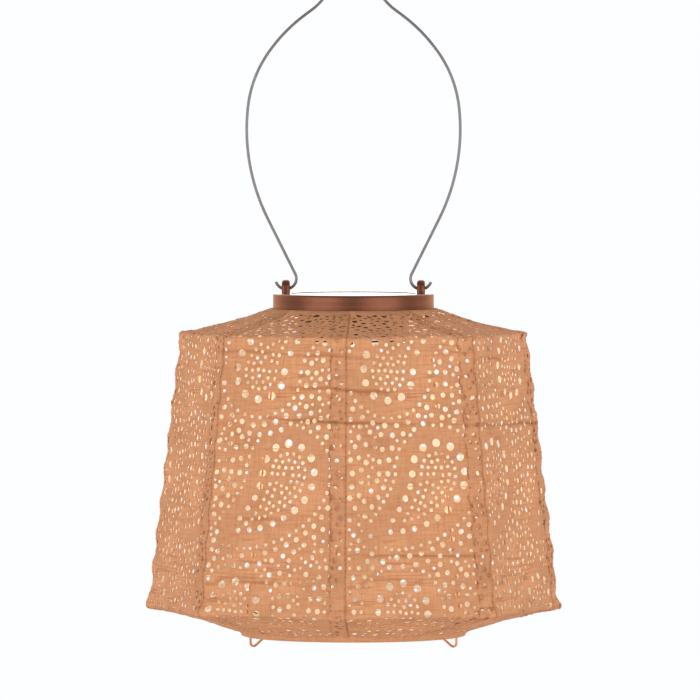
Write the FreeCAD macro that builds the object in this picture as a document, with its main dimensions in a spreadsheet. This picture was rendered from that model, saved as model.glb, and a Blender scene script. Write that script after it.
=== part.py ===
import FreeCAD, Part
import math
import os
import re
import Sketcher
from FreeCAD import Placement, Rotation, Vector

# Hanging solar lantern: a wire handle, a round collar that holds the solar unit, and an eight-sided
# cloth shade stretched over wire hoops. Every sub-part is drawn from the collar's top face, with the
# handle's hinge line along X, and is then lowered by hang_drop, so that the frame's origin is the
# point where a hook carries the handle. The shade has a corner at the front, towards -Y.

CELLS = {
    "hang_drop": (242.5, "hook contact point above the collar's top face"),
    "handle_wire_radius": (1.0, "bent steel wire of the handle"),
    "eyelet_x": (47.15, "middle of each eyelet from the axis"),
    "eyelet_rise": (3.0, "hinge line above the collar's top face"),
    "eyelet_width": (5.6, "eyelet along the hinge line"),
    "eyelet_head": (5.5, "radius of the eyelet's rounded head"),
    "eyelet_hole": (2.0, "radius of the eyelet's hole"),
    "eyelet_middle": (4.0, "middle of the rounded head above the collar's top face"),
    "eyelet_root": (1.5, "eyelet's foot below the collar's top face"),
    "eyelet_round": (1.9, "round on the eyelet's side edges"),
    "collar_radius": (56.1, "outside of the collar"),
    "collar_height": (10.2, "collar's skirt from top to bottom"),
    "collar_edge": (1.6, "round on the collar's top outer edge"),
    "skirt_wall": (2.0, "thickness of the collar's skirt"),
    "window_seat_radius": (43.6, "recess that takes the window"),
    "window_seat_depth": (2.2, "depth of that recess"),
    "ledge_radius": (40.5, "opening below the window"),
    "web_depth": (4.2, "underside of the collar's inner web"),
    "groove_top": (3.2, "top of the groove between the skirt and the inner rib"),
    "boss_root": (0.5, "depth of each screw boss in the web"),
    "pilot_depth": (6.0, "clamp screw's hole in its boss"),
    "case_pilot_depth": (2.8, "case screw's hole in the web"),
    "rib_outer": (50.6, "outside of the collar's inner rib"),
    "rib_inner": (48.6, "inside of the collar's inner rib"),
    "clamp_pcd_radius": (52.35, "radius of the clamp screws' circle"),
    "clamp_gap": (0.6, "space between the collar and the clamp ring for the cloth"),
    "clamp_height": (2.0, "thickness of the clamp ring"),
    "clamp_step": (0.5, "clamp ring's outer edge inside the collar's"),
    "clamp_play": (0.2, "clearance round a clamp screw in the clamp ring"),
    "socket_radius": (2.6, "outside of each socket for the expander"),
    "socket_depth": (7.0, "length of each socket below the clamp ring"),
    "socket_root": (0.5, "depth of each socket in the clamp ring"),
    "bore_root": (1.0, "depth of the socket's bore in the clamp ring"),
    "bore_play": (0.25, "clearance round the expander's wire"),
    "screw_radius": (1.1, "shank of the small screws"),
    "screw_play": (0.05, "clearance round a shank"),
    "floor_play": (0.1, "clearance round the cover's screw"),
    "head_depth": (1.4, "height of a screw's head"),
    "clamp_head": (1.9, "radius of a clamp screw's head"),
    "case_head": (2.0, "radius of a case screw's head"),
    "cover_head": (1.7, "radius of the cover screw's head"),
    "cover_head_depth": (1.2, "height of the cover screw's head"),
    "clamp_reach": (8.4, "length of a clamp screw above its head"),
    "case_reach": (5.0, "length of a case screw above its head"),
    "cover_reach": (6.5, "length of the cover screw above its head"),
    "drive_length": (5.0, "slot across a screw's head"),
    "drive_width": (0.6, "width of that slot"),
    "drive_depth": (0.4, "depth of that slot"),
    "overshoot": (1.0, "how far a cutting shape reaches past the face it cuts"),
    "tool_margin": (20.0, "how far the gore's cutting shapes reach past the shade"),
    "cloth": (0.5, "thickness of the shade's cloth"),
    "hem_radius": (53.5, "inner edge of the clamped hem"),
    "hem_trim": (6.0, "cloth trimmed off inside the hem"),
    "hem_fold": (56.9, "where the cloth turns down from the hem"),
    "cloth_top": (10.25, "top of the clamped hem below the collar's top face"),
    "shoulder_apothem": (112.7, "flat face of the shade at the top hoop"),
    "shoulder_drop": (27.0, "top hoop's fold below the collar's top face"),
    "base_apothem": (133.96, "flat face of the shade at the bottom hoop"),
    "base_drop": (218.8, "bottom hoop's fold below the collar's top face"),
    "mouth_apothem": (76.0, "flat face of the shade at its bottom opening"),
    "mouth_drop": (237.2, "bottom ring's middle below the collar's top face"),
    "mouth_under": (2.2, "cloth's edge below the bottom ring's middle"),
    "hoop_wire_radius": (0.9, "wire of the two eight-sided hoops"),
    "hoop_inset": (1.65, "hoop's middle inside the shade's face"),
    "hoop_ease": (0.25, "extra room for the bottom hoop inside the face"),
    "hoop_fold_gap": (1.1, "hoop's middle from the level of its fold"),
    "hoop_bend": (5.0, "bend at each corner of a hoop"),
    "rib_wire_radius": (0.55, "wire of the spiral rib"),
    "rib_inset": (1.35, "rib's middle inside the shade's face"),
    "rib_pitch": (22.5, "drop of the spiral rib in one turn"),
    "rib_turns": (8, "turns of the spiral rib"),
    "rib_start": (31.8, "upper end of the rib below the collar's top face"),
    "ring_radius": (75.0, "round ring at the bottom opening"),
    "ring_wire_radius": (1.4, "wire of that ring"),
    "expander_wire_radius": (0.8, "coated wire of the expander"),
    "expander_bend": (2.2, "bends of the expander"),
    "expander_top": (14.5, "end of the expander's leg in its socket"),
    "expander_knee": (26.0, "where the leg leaves the vertical"),
    "leg_x": (75.2, "leg just above the bottom ring"),
    "leg_rise": (4.6, "that point above the ring's middle"),
    "foot_x": (71.9, "foot inside the bottom ring"),
    "foot_rise": (0.6, "where the wire turns down into the foot"),
    "foot_drop": (249.3, "tip of the foot below the collar's top face"),
    "bar_x": (58.0, "half length of the cross bar"),
    "bar_drop": (236.6, "cross bar below the collar's top face"),
    "window_radius": (43.4, "clear window over the cells"),
    "window_top": (0.3, "window below the collar's top face"),
    "window_depth": (1.8, "thickness of the window"),
    "window_bevel": (0.4, "bevel round the window's top"),
    "board_radius": (40.0, "round board that carries the cells"),
    "board_depth": (1.2, "thickness of that board"),
    "board_top": (2.5, "board below the collar's top face"),
    "cell_height": (0.3, "thickness of a solar cell"),
    "cell_width": (9.4, "width of one cell strip"),
    "cell_gap": (0.6, "gap between two cell strips"),
    "cell_length": (54.0, "length of a cell strip"),
    "seal_height": (0.4, "thickness of the seal"),
    "seal_radius": (42.4, "outside of the seal"),
    "seal_bore": (39.0, "inside of the seal"),
    "case_radius": (38.6, "outside of the electronics case"),
    "case_wall": (1.8, "wall of the electronics case"),
    "case_flange": (47.6, "flange that is screwed under the collar"),
    "flange_height": (2.0, "thickness of the flange"),
    "floor_height": (2.0, "thickness of the case's floor"),
    "lamp_hole": (3.0, "radius of the hole for the lamp"),
    "case_floor": (33.0, "underside of the case below the collar's top face"),
    "case_pcd_radius": (45.4, "radius of the case screws' circle"),
    "bay_y": (19.7, "middle of the battery bay"),
    "spring_radius": (3.0, "battery spring, middle of the wire"),
    "spring_wire_radius": (0.3, "battery spring wire"),
    "spring_pitch": (1.05, "battery spring, distance between turns"),
    "spring_turns": (4, "battery spring turns"),
    "bay_width": (11.2, "battery bay across"),
    "bay_length": (51.0, "battery bay along"),
    "battery_radius": (5.25, "rechargeable cell of the AAA size"),
    "battery_length": (44.5, "length of that cell"),
    "battery_drop": (22.0, "battery's axis below the collar's top face"),
    "nub_radius": (1.9, "radius of the battery's positive end"),
    "nub_height": (1.0, "height of the battery's positive end"),
    "plate_thickness": (0.4, "battery contact plate"),
    "plate_width": (8.0, "contact plate across"),
    "plate_height": (9.0, "contact plate from top to bottom"),
    "plus_gap": (0.05, "space between the positive end and its plate"),
    "spring_start": (0.4, "first turn of the spring past the battery's end"),
    "spring_room": (5.1, "negative plate past the battery's end"),
    "spring_bend": (0.9, "bend at each corner of the spring's wire"),
    "cover_y": (18.1, "middle of the battery cover"),
    "cover_overlap": (3.0, "how much longer the cover is than the bay"),
    "cover_width": (16.6, "battery cover across"),
    "cover_height": (1.4, "thickness of the battery cover"),
    "cover_drop": (1.5, "cover's underside below the case's floor"),
    "cover_corner": (2.0, "round on the cover's corners"),
    "cover_screw_y": (12.0, "middle of the cover's screw"),
    "circuit_length": (40.0, "circuit board along X"),
    "circuit_width": (30.0, "circuit board along Y"),
    "circuit_height": (1.6, "thickness of the circuit board"),
    "circuit_front": (25.0, "board's front edge from the axis"),
    "circuit_drop": (27.6, "board's underside below the collar's top face"),
    "lamp_radius": (2.4, "lamp's can and dome"),
    "lamp_length": (5.6, "lamp's can"),
    "lamp_drop": (33.2, "middle of the lamp's dome below the collar's top face"),
    "lead_radius": (0.6, "insulated lead"),
    "lead_bend": (4.0, "bends of a lead"),
    "lead_x": (9.0, "lead where it leaves the cells' board"),
    "lead_end": (26.0, "lead's end on the circuit board"),
    "knob_travel": (3.0, "throw of the slide switch"),
    "switch_y": (-20.0, "middle of the slide switch"),
    "switch_slot_length": (7.4, "slot for the knob along X"),
    "switch_slot_width": (3.2, "slot for the knob along Y"),
    "switch_length": (11.0, "switch housing along X"),
    "switch_width": (5.0, "switch housing along Y"),
    "switch_height": (2.4, "switch housing from top to bottom"),
    "switch_drop": (30.2, "housing's underside below the collar's top face"),
    "stem_length": (2.6, "knob's stem along X"),
    "stem_width": (2.4, "knob's stem along Y"),
    "stem_top": (30.4, "top of the stem below the collar's top face"),
    "stem_root": (0.6, "stem's depth in the knob's cap"),
    "cap_gap": (0.3, "space between the case's floor and the cap"),
    "cap_length": (4.4, "knob's cap along X"),
    "cap_width": (4.6, "knob's cap along Y"),
    "cap_height": (2.2, "height of the knob's cap"),
    "groove_pitch": (1.3, "distance between the grooves of the cap"),
    "groove_width": (0.5, "width and depth of a groove"),
    "groove_length": (4.8, "length of a groove"),
}
# half of the handle, from the top of its arch outwards: bend radius, turn in degrees, straight run
HALF_HANDLE = [
    (12.15, -90, 0),
    (42.0, 54, 0),
    (0, 0, 4.0),
    (115.0, -19, 0),
    (82.0, -28.64, 0),
    (140.0, -32.86, 0),
    (0, 0, 42.95),
    (7.3, 188.5, 0),
]
# route of a lead: share of lead_x, y, drop below the cells' board
LEAD_ROUTE = [(1.0, -6.0, 0.0), (1.0, -6.0, 6.0), (1.35, -9.0, 12.0), (1.5, -14.0, 17.0)]
# the lens's wall in section: radius, depth below the case's floor
LENS_PROFILE = [
    (7.6, 0.1),
    (9.0, 0.1),
    (9.0, 2.0),
    (7.8, 4.6),
    (5.2, 6.6),
    (0, 7.4),
    (0, 6.0),
    (4.6, 5.3),
    (6.6, 3.8),
    (7.6, 1.8),
]
GORE_COUNT = 8
SPRING_CORNERS = 12
CELL_STRIPS = 6
ON_DIAGONAL = "clamp_pcd_radius * sqrt(0.5)"
GORE_ANGLE = 360 / GORE_COUNT
FIRST_GORE_ANGLE = -90 + GORE_ANGLE / 2
CORNER_SHARE = 1 / math.cos(math.radians(GORE_ANGLE / 2))
CLAMP_SCREWS = 4
CASE_SCREWS = 3

doc = FreeCAD.newDocument("solar_lantern")
sheet = doc.addObject("Spreadsheet::Sheet", "Sizes")
subparts = []


def fill_sheet():
    for row, (alias, (number, note)) in enumerate(CELLS.items(), start=1):
        sheet.set(f"A{row}", note)
        sheet.set(f"B{row}", str(number))
        sheet.setAlias(f"B{row}", alias)
    doc.recompute()


def bound(text):
    """Points the words of a formula at the cells of the sheet."""
    return re.sub(r"[a-z_]{3,}", lambda word: "Sizes." + word[0] if word[0] in CELLS else word[0], str(text))


def value(text):
    """The number that a formula of the sheet's words gives."""
    found = sheet.evalExpression(bound(text))
    return float(getattr(found, "Value", found))


def bind(thing, **formulas):
    for name, text in formulas.items():
        thing.setExpression(name, bound(text))


def finish(thing, label, turn=0.0):
    """Names a sub-part and lowers it into the frame of the hanging point."""
    thing.Label = label
    thing.Placement = Placement(Vector(0, 0, 0), Rotation(Vector(0, 0, 1), turn))
    thing.setExpression("Placement.Base.z", bound("-hang_drop"))
    subparts.append(thing)
    return thing


# ---- sketches and features -----------------------------------------------------------------------

def new_sketch(body, role, name, lift="0"):
    """A sketch on one of the body's own origin planes, moved along the plane's normal."""
    sketch = body.newObject("Sketcher::SketchObject", name)
    plane = next(item for item in body.Origin.OriginFeatures if item.Role == role)
    sketch.AttachmentSupport = [(plane, "")]
    sketch.MapMode = "FlatFace"
    sketch.setExpression("AttachmentOffset.Base.z", bound(lift))
    return sketch


def hold_number(sketch, kind, items, text):
    """Adds one constraint of the sketch and ties it to a formula."""
    number = sketch.addConstraint(Sketcher.Constraint(kind, *items, value(text)))
    sketch.setExpression(f"Constraints[{number}]", bound(text))


def hold_point(sketch, item, end, across, up):
    """Ties one point of the sketch to two formulas."""
    hold_number(sketch, "DistanceX", (-1, 1, item, end), across)
    hold_number(sketch, "DistanceY", (-1, 1, item, end), up)


def draw_outline(sketch, corners):
    """A closed outline of straight lines, each corner given as two formulas."""
    points = [Vector(value(across), value(up), 0) for across, up in corners]
    count = len(points)
    first = sketch.GeometryCount
    for index in range(count):
        sketch.addGeometry(Part.LineSegment(points[index], points[(index + 1) % count]))
    for index in range(count):
        following = first + (index + 1) % count
        sketch.addConstraint(Sketcher.Constraint("Coincident", first + index, 2, following, 1))
    for index, (across, up) in enumerate(corners):
        hold_point(sketch, first + index, 1, across, up)


def draw_circle(sketch, across, up, radius):
    circle = Part.Circle(Vector(value(across), value(up), 0), Vector(0, 0, 1), value(radius))
    item = sketch.addGeometry(circle)
    hold_point(sketch, item, 3, across, up)
    hold_number(sketch, "Radius", (item,), radius)


def revolve(body, name, corners):
    """Turns a profile, given as radius and height, round the body's Z axis."""
    sketch = new_sketch(body, "XZ_Plane", name + "_profile")
    draw_outline(sketch, corners)
    feature = body.newObject("PartDesign::Revolution", name)
    feature.Profile = sketch
    feature.ReferenceAxis = (sketch, ["V_Axis"])
    feature.Angle = 360
    doc.recompute()
    return feature


def extrude(body, kind, name, sketch, length, backwards=False):
    """A Pad or a Pocket; each Pocket has to take something away."""
    before = body.Shape.Volume if kind == "Pocket" else 0.0
    feature = body.newObject("PartDesign::" + kind, name)
    feature.Profile = sketch
    feature.Reversed = backwards
    bind(feature, Length=length)
    doc.recompute()
    if kind == "Pocket" and not body.Shape.Volume < before - 0.01:
        raise RuntimeError(f"{name} cuts nothing")
    return feature


def repeat_round(body, name, feature, count):
    pattern = body.newObject("PartDesign::PolarPattern", name)
    pattern.Originals = [feature]
    axis = next(item for item in body.Origin.OriginFeatures if item.Role == "Z_Axis")
    pattern.Axis = (axis, [""])
    pattern.Angle = 360
    pattern.Occurrences = count
    body.Tip = pattern
    doc.recompute()
    return pattern


def mirror_sideways(body, name, feature):
    mirrored = body.newObject("PartDesign::Mirrored", name)
    mirrored.Originals = [feature]
    plane = next(item for item in body.Origin.OriginFeatures if item.Role == "YZ_Plane")
    mirrored.MirrorPlane = (plane, [""])
    body.Tip = mirrored
    doc.recompute()
    return mirrored


def soften(body, kind, name, feature, wanted, size):
    """A Fillet or Chamfer on the edges that the test picks."""
    edges = [f"Edge{number}" for number, edge in enumerate(feature.Shape.Edges, start=1) if wanted(edge)]
    if not edges:
        raise RuntimeError(f"{name} finds no edge")
    dressed = body.newObject("PartDesign::" + kind, name)
    dressed.Base = (feature, edges)
    setattr(dressed, "Radius" if kind == "Fillet" else "Size", size)
    doc.recompute()
    return dressed


def box(name, size, corner):
    """A block with its size and its lowest corner as formulas."""
    block = doc.addObject("Part::Box", name)
    bind(block, Length=size[0], Width=size[1], Height=size[2])
    for letter, text in zip("xyz", corner):
        block.setExpression("Placement.Base." + letter, bound(text))
    return block


def rod(name, radius, length, centre):
    """An upright cylinder with its foot's centre as formulas."""
    cylinder = doc.addObject("Part::Cylinder", name)
    bind(cylinder, Radius=radius, Height=length)
    for letter, text in zip("xyz", centre):
        cylinder.setExpression("Placement.Base." + letter, bound(text))
    return cylinder


def combine(kind, name, *shapes):
    joined = doc.addObject("Part::" + kind, name)
    if kind in ("Cut", "Common"):
        joined.Base, joined.Tool = shapes
    else:
        joined.Shapes = list(shapes)
    return joined


# ---- bent wires ----------------------------------------------------------------------------------

def rounded_route(points, bend, closed=False):
    """Straight runs joined by tangent arcs of one bend radius."""
    count = len(points)
    bends = {}
    for index in range(count) if closed else range(1, count - 1):
        corner = points[index]
        arriving = (corner - points[index - 1]).normalize()
        leaving = (points[(index + 1) % count] - corner).normalize()
        half_turn = arriving.getAngle(leaving) / 2
        setback = bend * math.tan(half_turn)
        inward = (leaving - arriving).normalize()
        middle = corner + inward * (bend / math.cos(half_turn) - bend)
        bends[index] = (corner - arriving * setback, middle, corner + leaving * setback)
    edges = []
    for index in range(count if closed else count - 1):
        following = (index + 1) % count
        start = bends[index][2] if index in bends else points[index]
        end = bends[following][0] if following in bends else points[following]
        edges.append(Part.LineSegment(start, end).toShape())
        if following in bends:
            edges.append(Part.Arc(*bends[following]).toShape())
    return Part.Wire(edges)


def turning_route(start, moves):
    """A flat route in the XZ plane of straight runs and of bends given as radius and turn."""
    x, z = start
    heading = 0.0
    edges = []
    for radius, turn, run in moves:
        begin = Vector(x, 0, z)
        if run:
            x += run * math.cos(heading)
            z += run * math.sin(heading)
            edges.append(Part.LineSegment(begin, Vector(x, 0, z)).toShape())
            continue
        side = math.copysign(1, turn)
        centre = Vector(x - side * radius * math.sin(heading), 0, z + side * radius * math.cos(heading))
        places = []
        for share in (0.5, 1.0):
            angle = heading - side * math.pi / 2 + math.radians(turn) * share
            places.append(centre + Vector(radius * math.cos(angle), 0, radius * math.sin(angle)))
        edges.append(Part.Arc(begin, places[0], places[1]).toShape())
        x, z = places[1].x, places[1].z
        heading += math.radians(turn)
    return edges


def sweep_wire(node, route, radius):
    """A round wire along a route; the sub-part is the sweep."""
    path = doc.addObject("Part::Feature", node + "_route")
    path.Shape = route
    first = route.OrderedEdges[0]
    start = first.valueAt(first.FirstParameter)
    along = first.tangentAt(first.FirstParameter)
    section = doc.addObject("Part::Circle", node + "_section")
    bind(section, Radius=radius)
    section.Placement = Placement(start, Rotation(Vector(0, 0, 1), along))
    sweep = doc.addObject("Part::Sweep", node + "_wire")
    sweep.Sections = [section]
    sweep.Spine = (path, [f"Edge{number + 1}" for number in range(len(route.Edges))])
    sweep.Solid = True
    sweep.Frenet = False
    doc.recompute()
    expected = math.pi * value(radius) ** 2 * route.Length
    if abs(sweep.Shape.Volume / expected - 1) > 0.02:
        raise RuntimeError(f"{node}: volume {sweep.Shape.Volume:.1f}, expected {expected:.1f}")
    return sweep


def make_handle():
    """One wire: a small arch at the top, a wide bow, and an upturned hook through each eyelet."""
    top = value("hang_drop + handle_wire_radius")
    right = turning_route((0.0, top), HALF_HANDLE)
    left = [edge.mirror(Vector(0, 0, 0), Vector(1, 0, 0)) for edge in right]
    halves = [sweep_wire(f"handle_{side}", Part.Wire(Part.__sortEdges__(edges)), "handle_wire_radius")
              for side, edges in (("right", right), ("left", left))]
    finish(combine("MultiFuse", "handle_wire", *halves), "handle_wire")


# ---- collar --------------------------------------------------------------------------------------

def make_collar():
    body = doc.addObject("PartDesign::Body", "top_collar")
    profile = [
        ("window_seat_radius", "0"),
        ("collar_radius", "0"),
        ("collar_radius", "-collar_height"),
        ("collar_radius - skirt_wall", "-collar_height"),
        ("collar_radius - skirt_wall", "-groove_top"),
        ("rib_outer", "-groove_top"),
        ("rib_outer", "-collar_height"),
        ("rib_inner", "-collar_height"),
        ("rib_inner", "-web_depth"),
        ("ledge_radius", "-web_depth"),
        ("ledge_radius", "-window_seat_depth"),
        ("window_seat_radius", "-window_seat_depth"),
    ]
    ring = revolve(body, "collar_ring", profile)
    rim = value("collar_radius")
    soften(body, "Fillet", "collar_round", ring,
           lambda edge: abs(edge.BoundBox.ZMax) < 0.01 and abs(edge.BoundBox.XMax - rim) < 0.01,
           value("collar_edge"))
    add_bosses(body)
    add_eyelets(body)
    finish(body, "top_collar")


def add_bosses(body):
    """Screw bosses in the collar's groove, and the pilot holes for both sets of screws."""
    boss = new_sketch(body, "XY_Plane", "boss_sketch", "-collar_height")
    draw_circle(boss, ON_DIAGONAL, ON_DIAGONAL, "socket_radius")
    pad = extrude(body, "Pad", "boss", boss, "collar_height - groove_top + boss_root")
    repeat_round(body, "bosses", pad, CLAMP_SCREWS)
    pilot = new_sketch(body, "XY_Plane", "pilot_sketch", "-collar_height")
    draw_circle(pilot, ON_DIAGONAL, ON_DIAGONAL, "screw_radius + screw_play")
    pocket = extrude(body, "Pocket", "pilot", pilot, "pilot_depth", backwards=True)
    repeat_round(body, "pilots", pocket, CLAMP_SCREWS)
    case_pilot = new_sketch(body, "XY_Plane", "case_pilot_sketch", "-web_depth")
    draw_circle(case_pilot, "0", "case_pcd_radius", "screw_radius + screw_play")
    case_pocket = extrude(body, "Pocket", "case_pilot", case_pilot, "case_pilot_depth", backwards=True)
    repeat_round(body, "case_pilots", case_pocket, CASE_SCREWS)


def add_eyelets(body):
    """A drilled lug with a rounded head on each side of the collar."""
    sketch = new_sketch(body, "YZ_Plane", "eyelet_sketch", "eyelet_x - eyelet_width / 2")
    head = value("eyelet_head")
    middle = value("eyelet_middle")
    foot = value("-eyelet_root")
    arc = Part.ArcOfCircle(Part.Circle(Vector(0, middle, 0), Vector(0, 0, 1), head), 0, math.pi)
    sketch.addGeometry([
        arc,
        Part.LineSegment(Vector(-head, middle, 0), Vector(-head, foot, 0)),
        Part.LineSegment(Vector(-head, foot, 0), Vector(head, foot, 0)),
        Part.LineSegment(Vector(head, foot, 0), Vector(head, middle, 0)),
    ])
    for first, end, second, start in ((0, 2, 1, 1), (1, 2, 2, 1), (2, 2, 3, 1), (3, 2, 0, 1)):
        sketch.addConstraint(Sketcher.Constraint("Coincident", first, end, second, start))
    hold_point(sketch, 0, 3, "0", "eyelet_middle")
    hold_number(sketch, "Radius", (0,), "eyelet_head")
    hold_number(sketch, "DistanceY", (-1, 1, 0, 1), "eyelet_middle")
    hold_number(sketch, "DistanceY", (-1, 1, 0, 2), "eyelet_middle")
    hold_point(sketch, 1, 2, "-eyelet_head", "-eyelet_root")
    hold_point(sketch, 2, 2, "eyelet_head", "-eyelet_root")
    draw_circle(sketch, "0", "eyelet_rise", "eyelet_hole")
    lug = extrude(body, "Pad", "eyelet", sketch, "eyelet_width")
    eyelets = mirror_sideways(body, "eyelets", lug)
    root = value("collar_edge")
    soften(body, "Fillet", "eyelet_rounds", eyelets,
           lambda edge: on_eyelet_side(edge.BoundBox, root), value("eyelet_round"))


def on_eyelet_side(limits, root):
    """Whether an edge runs over an eyelet's rounded head, in one upright plane."""
    middle = value("eyelet_x")
    half = value("eyelet_width / 2")
    flat = limits.XLength < 0.01 and abs(abs(abs(limits.XMin) - middle) - half) < 0.01
    return flat and limits.ZMax > value("eyelet_middle + eyelet_head") - 0.01 and limits.ZMin > root


def make_clamp_ring():
    """Ring screwed up under the collar. It pinches the cloth and has two sockets for the expander."""
    body = doc.addObject("PartDesign::Body", "clamp_ring")
    upper = "-collar_height - clamp_gap"
    lower = "-collar_height - clamp_gap - clamp_height"
    revolve(body, "clamp_band", [
        ("rib_inner", upper),
        ("collar_radius - clamp_step", upper),
        ("collar_radius - clamp_step", lower),
        ("rib_inner", lower),
    ])
    hole = new_sketch(body, "XY_Plane", "clamp_hole_sketch", lower)
    draw_circle(hole, ON_DIAGONAL, ON_DIAGONAL, "screw_radius + clamp_play")
    pocket = extrude(body, "Pocket", "clamp_hole", hole, "clamp_height", backwards=True)
    repeat_round(body, "clamp_holes", pocket, CLAMP_SCREWS)
    socket = new_sketch(body, "XY_Plane", "socket_sketch", lower + " - socket_depth")
    draw_circle(socket, "clamp_pcd_radius", "0", "socket_radius")
    pad = extrude(body, "Pad", "socket", socket, "socket_depth + socket_root")
    mirror_sideways(body, "sockets", pad)
    bore = new_sketch(body, "XY_Plane", "socket_bore_sketch", lower + " - socket_depth")
    draw_circle(bore, "clamp_pcd_radius", "0", "expander_wire_radius + bore_play")
    bore_pocket = extrude(body, "Pocket", "socket_bore", bore, "socket_depth + bore_root", backwards=True)
    mirror_sideways(body, "socket_bores", bore_pocket)
    finish(body, "clamp_ring")


def make_screw(name, x, y, seat, reach, head_radius, head_depth):
    """A small screw that points up: its head sits under the face at seat."""
    shank = rod(name + "_shank", "screw_radius", reach, (x, y, seat))
    head = rod(name + "_head", head_radius, head_depth, (x, y, f"{seat} - {head_depth}"))
    slot = box(name + "_slot", ("drive_length", "drive_width", "drive_depth * 2"),
               (f"{x} - drive_length / 2", f"{y} - drive_width / 2", f"{seat} - {head_depth} - drive_depth"))
    whole = combine("MultiFuse", name + "_whole", shank, head)
    return combine("Cut", name, whole, slot)


def make_screw_group(label, count, radius, first_angle, seat, reach, head_radius):
    screws = []
    for number in range(count):
        angle = math.radians(first_angle + 360 * number / count)
        x = f"{radius} * {math.cos(angle):.6f}"
        y = f"{radius} * {math.sin(angle):.6f}"
        screws.append(make_screw(f"{label}_{number + 1}", x, y, seat, reach, head_radius, "head_depth"))
    finish(group(label, screws), label)


def group(name, members):
    """Identical loose pieces kept as separate solids in one sub-part."""
    compound = doc.addObject("Part::Compound", name)
    compound.Links = members
    return compound


# ---- cloth shade and its wires -------------------------------------------------------------------

def lining(corners):
    """The corners of an open outline moved inwards by the cloth's thickness."""
    points = [Vector(value(across), value(up), 0) for across, up in corners]
    sides = []
    for start, end in zip(points, points[1:]):
        run = (end - start).normalize()
        sides.append(Vector(run.y, -run.x, 0))
    moved = []
    for (across, up), before, after in zip(corners, sides[:1] + sides, sides + sides[-1:]):
        mitre = (before + after) * (1 / (1 + before.dot(after)))
        moved.append((f"{across} + cloth * {mitre.x:.4f}", f"{up} + cloth * {mitre.y:.4f}"))
    return moved


def make_gores():
    """Eight cloth gores, each from the clamped hem over the shoulder and side to the bottom hem."""
    sketch = doc.addObject("Sketcher::SketchObject", "gore_profile")
    sketch.Placement = Placement(Vector(0, 0, 0), Rotation(Vector(1, 0, 0), 90))
    outer = [
        ("hem_radius - hem_trim", "-cloth_top"),
        ("hem_fold", "-cloth_top"),
        ("shoulder_apothem", "-shoulder_drop"),
        ("base_apothem", "-base_drop"),
        ("mouth_apothem", "-mouth_drop - mouth_under"),
    ]
    draw_outline(sketch, outer + lining(outer)[::-1])
    band = doc.addObject("Part::Extrusion", "gore_band")
    band.Base = sketch
    band.DirMode = "Custom"
    band.Dir = Vector(0, 1, 0)
    bind(band, LengthFwd="base_apothem")
    band.Symmetric = True
    band.Solid = True
    sector = doc.addObject("Part::Cylinder", "gore_sector")
    bind(sector, Radius="base_apothem + tool_margin", Height="mouth_drop + tool_margin * 2")
    sector.Angle = GORE_ANGLE
    sector.Placement = Placement(Vector(0, 0, 0), Rotation(Vector(0, 0, 1), -GORE_ANGLE / 2))
    sector.setExpression("Placement.Base.z", bound("-mouth_drop - tool_margin"))
    mouth = rod("gore_mouth", "hem_radius", "mouth_drop + tool_margin * 3",
                ("0", "0", "-mouth_drop - tool_margin * 1.5"))
    slice_tool = combine("Cut", "gore_slice", sector, mouth)
    for number in range(GORE_COUNT):
        gore = combine("Common", f"gore_{number + 1}", band, slice_tool)
        finish(gore, f"shade_gore_{number + 1}", FIRST_GORE_ANGLE + GORE_ANGLE * number)


def corner_point(apothem, angle, drop):
    reach = apothem * CORNER_SHARE
    return Vector(reach * math.cos(math.radians(angle)), reach * math.sin(math.radians(angle)), -drop)


def make_hoop(label, apothem, drop):
    """A closed eight-sided hoop that sits in a fold of the shade."""
    corners = [corner_point(apothem, -90 + GORE_ANGLE * number, drop) for number in range(GORE_COUNT)]
    route = rounded_route(corners, value("hoop_bend"), closed=True)
    finish(sweep_wire(label, route, "hoop_wire_radius"), label)


def make_spiral_rib():
    """One wire that winds down inside the side panels and bends at every corner."""
    taper = (value("base_apothem") - value("shoulder_apothem")) / (value("base_drop") - value("shoulder_drop"))
    points = []
    for step in range(int(value("rib_turns")) * GORE_COUNT + 1):
        drop = value("rib_start") + value("rib_pitch") * step / GORE_COUNT
        apothem = value("shoulder_apothem") + taper * (drop - value("shoulder_drop")) - value("rib_inset")
        points.append(corner_point(apothem, 180 + GORE_ANGLE * step, drop))
    route = rounded_route(points, value("hoop_bend"))
    finish(sweep_wire("spiral_rib", route, "rib_wire_radius"), "spiral_rib")


def make_bottom_ring():
    ring = doc.addObject("Part::Torus", "ring_torus")
    bind(ring, Radius1="ring_radius", Radius2="ring_wire_radius")
    finish(group("bottom_ring_group", [ring]), "bottom_ring")
    ring.setExpression("Placement.Base.z", bound("-mouth_drop"))


def make_expander():
    """One wire that pushes the bottom ring away from the collar: two legs, two V feet and a cross bar."""
    socket = value("clamp_pcd_radius")
    side = [
        Vector(socket, 0, value("-expander_top")),
        Vector(socket, 0, value("-expander_knee")),
        Vector(value("leg_x"), 0, value("-mouth_drop + leg_rise")),
        Vector(value("foot_x"), 0, value("-mouth_drop + foot_rise")),
        Vector(value("foot_x"), 0, value("-foot_drop")),
        Vector(value("bar_x"), 0, value("-bar_drop")),
    ]
    points = side + [Vector(-point.x, 0, point.z) for point in reversed(side)]
    route = rounded_route(points, value("expander_bend"))
    finish(sweep_wire("expander_frame", route, "expander_wire_radius"), "expander_frame")


# ---- solar unit ----------------------------------------------------------------------------------

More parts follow.
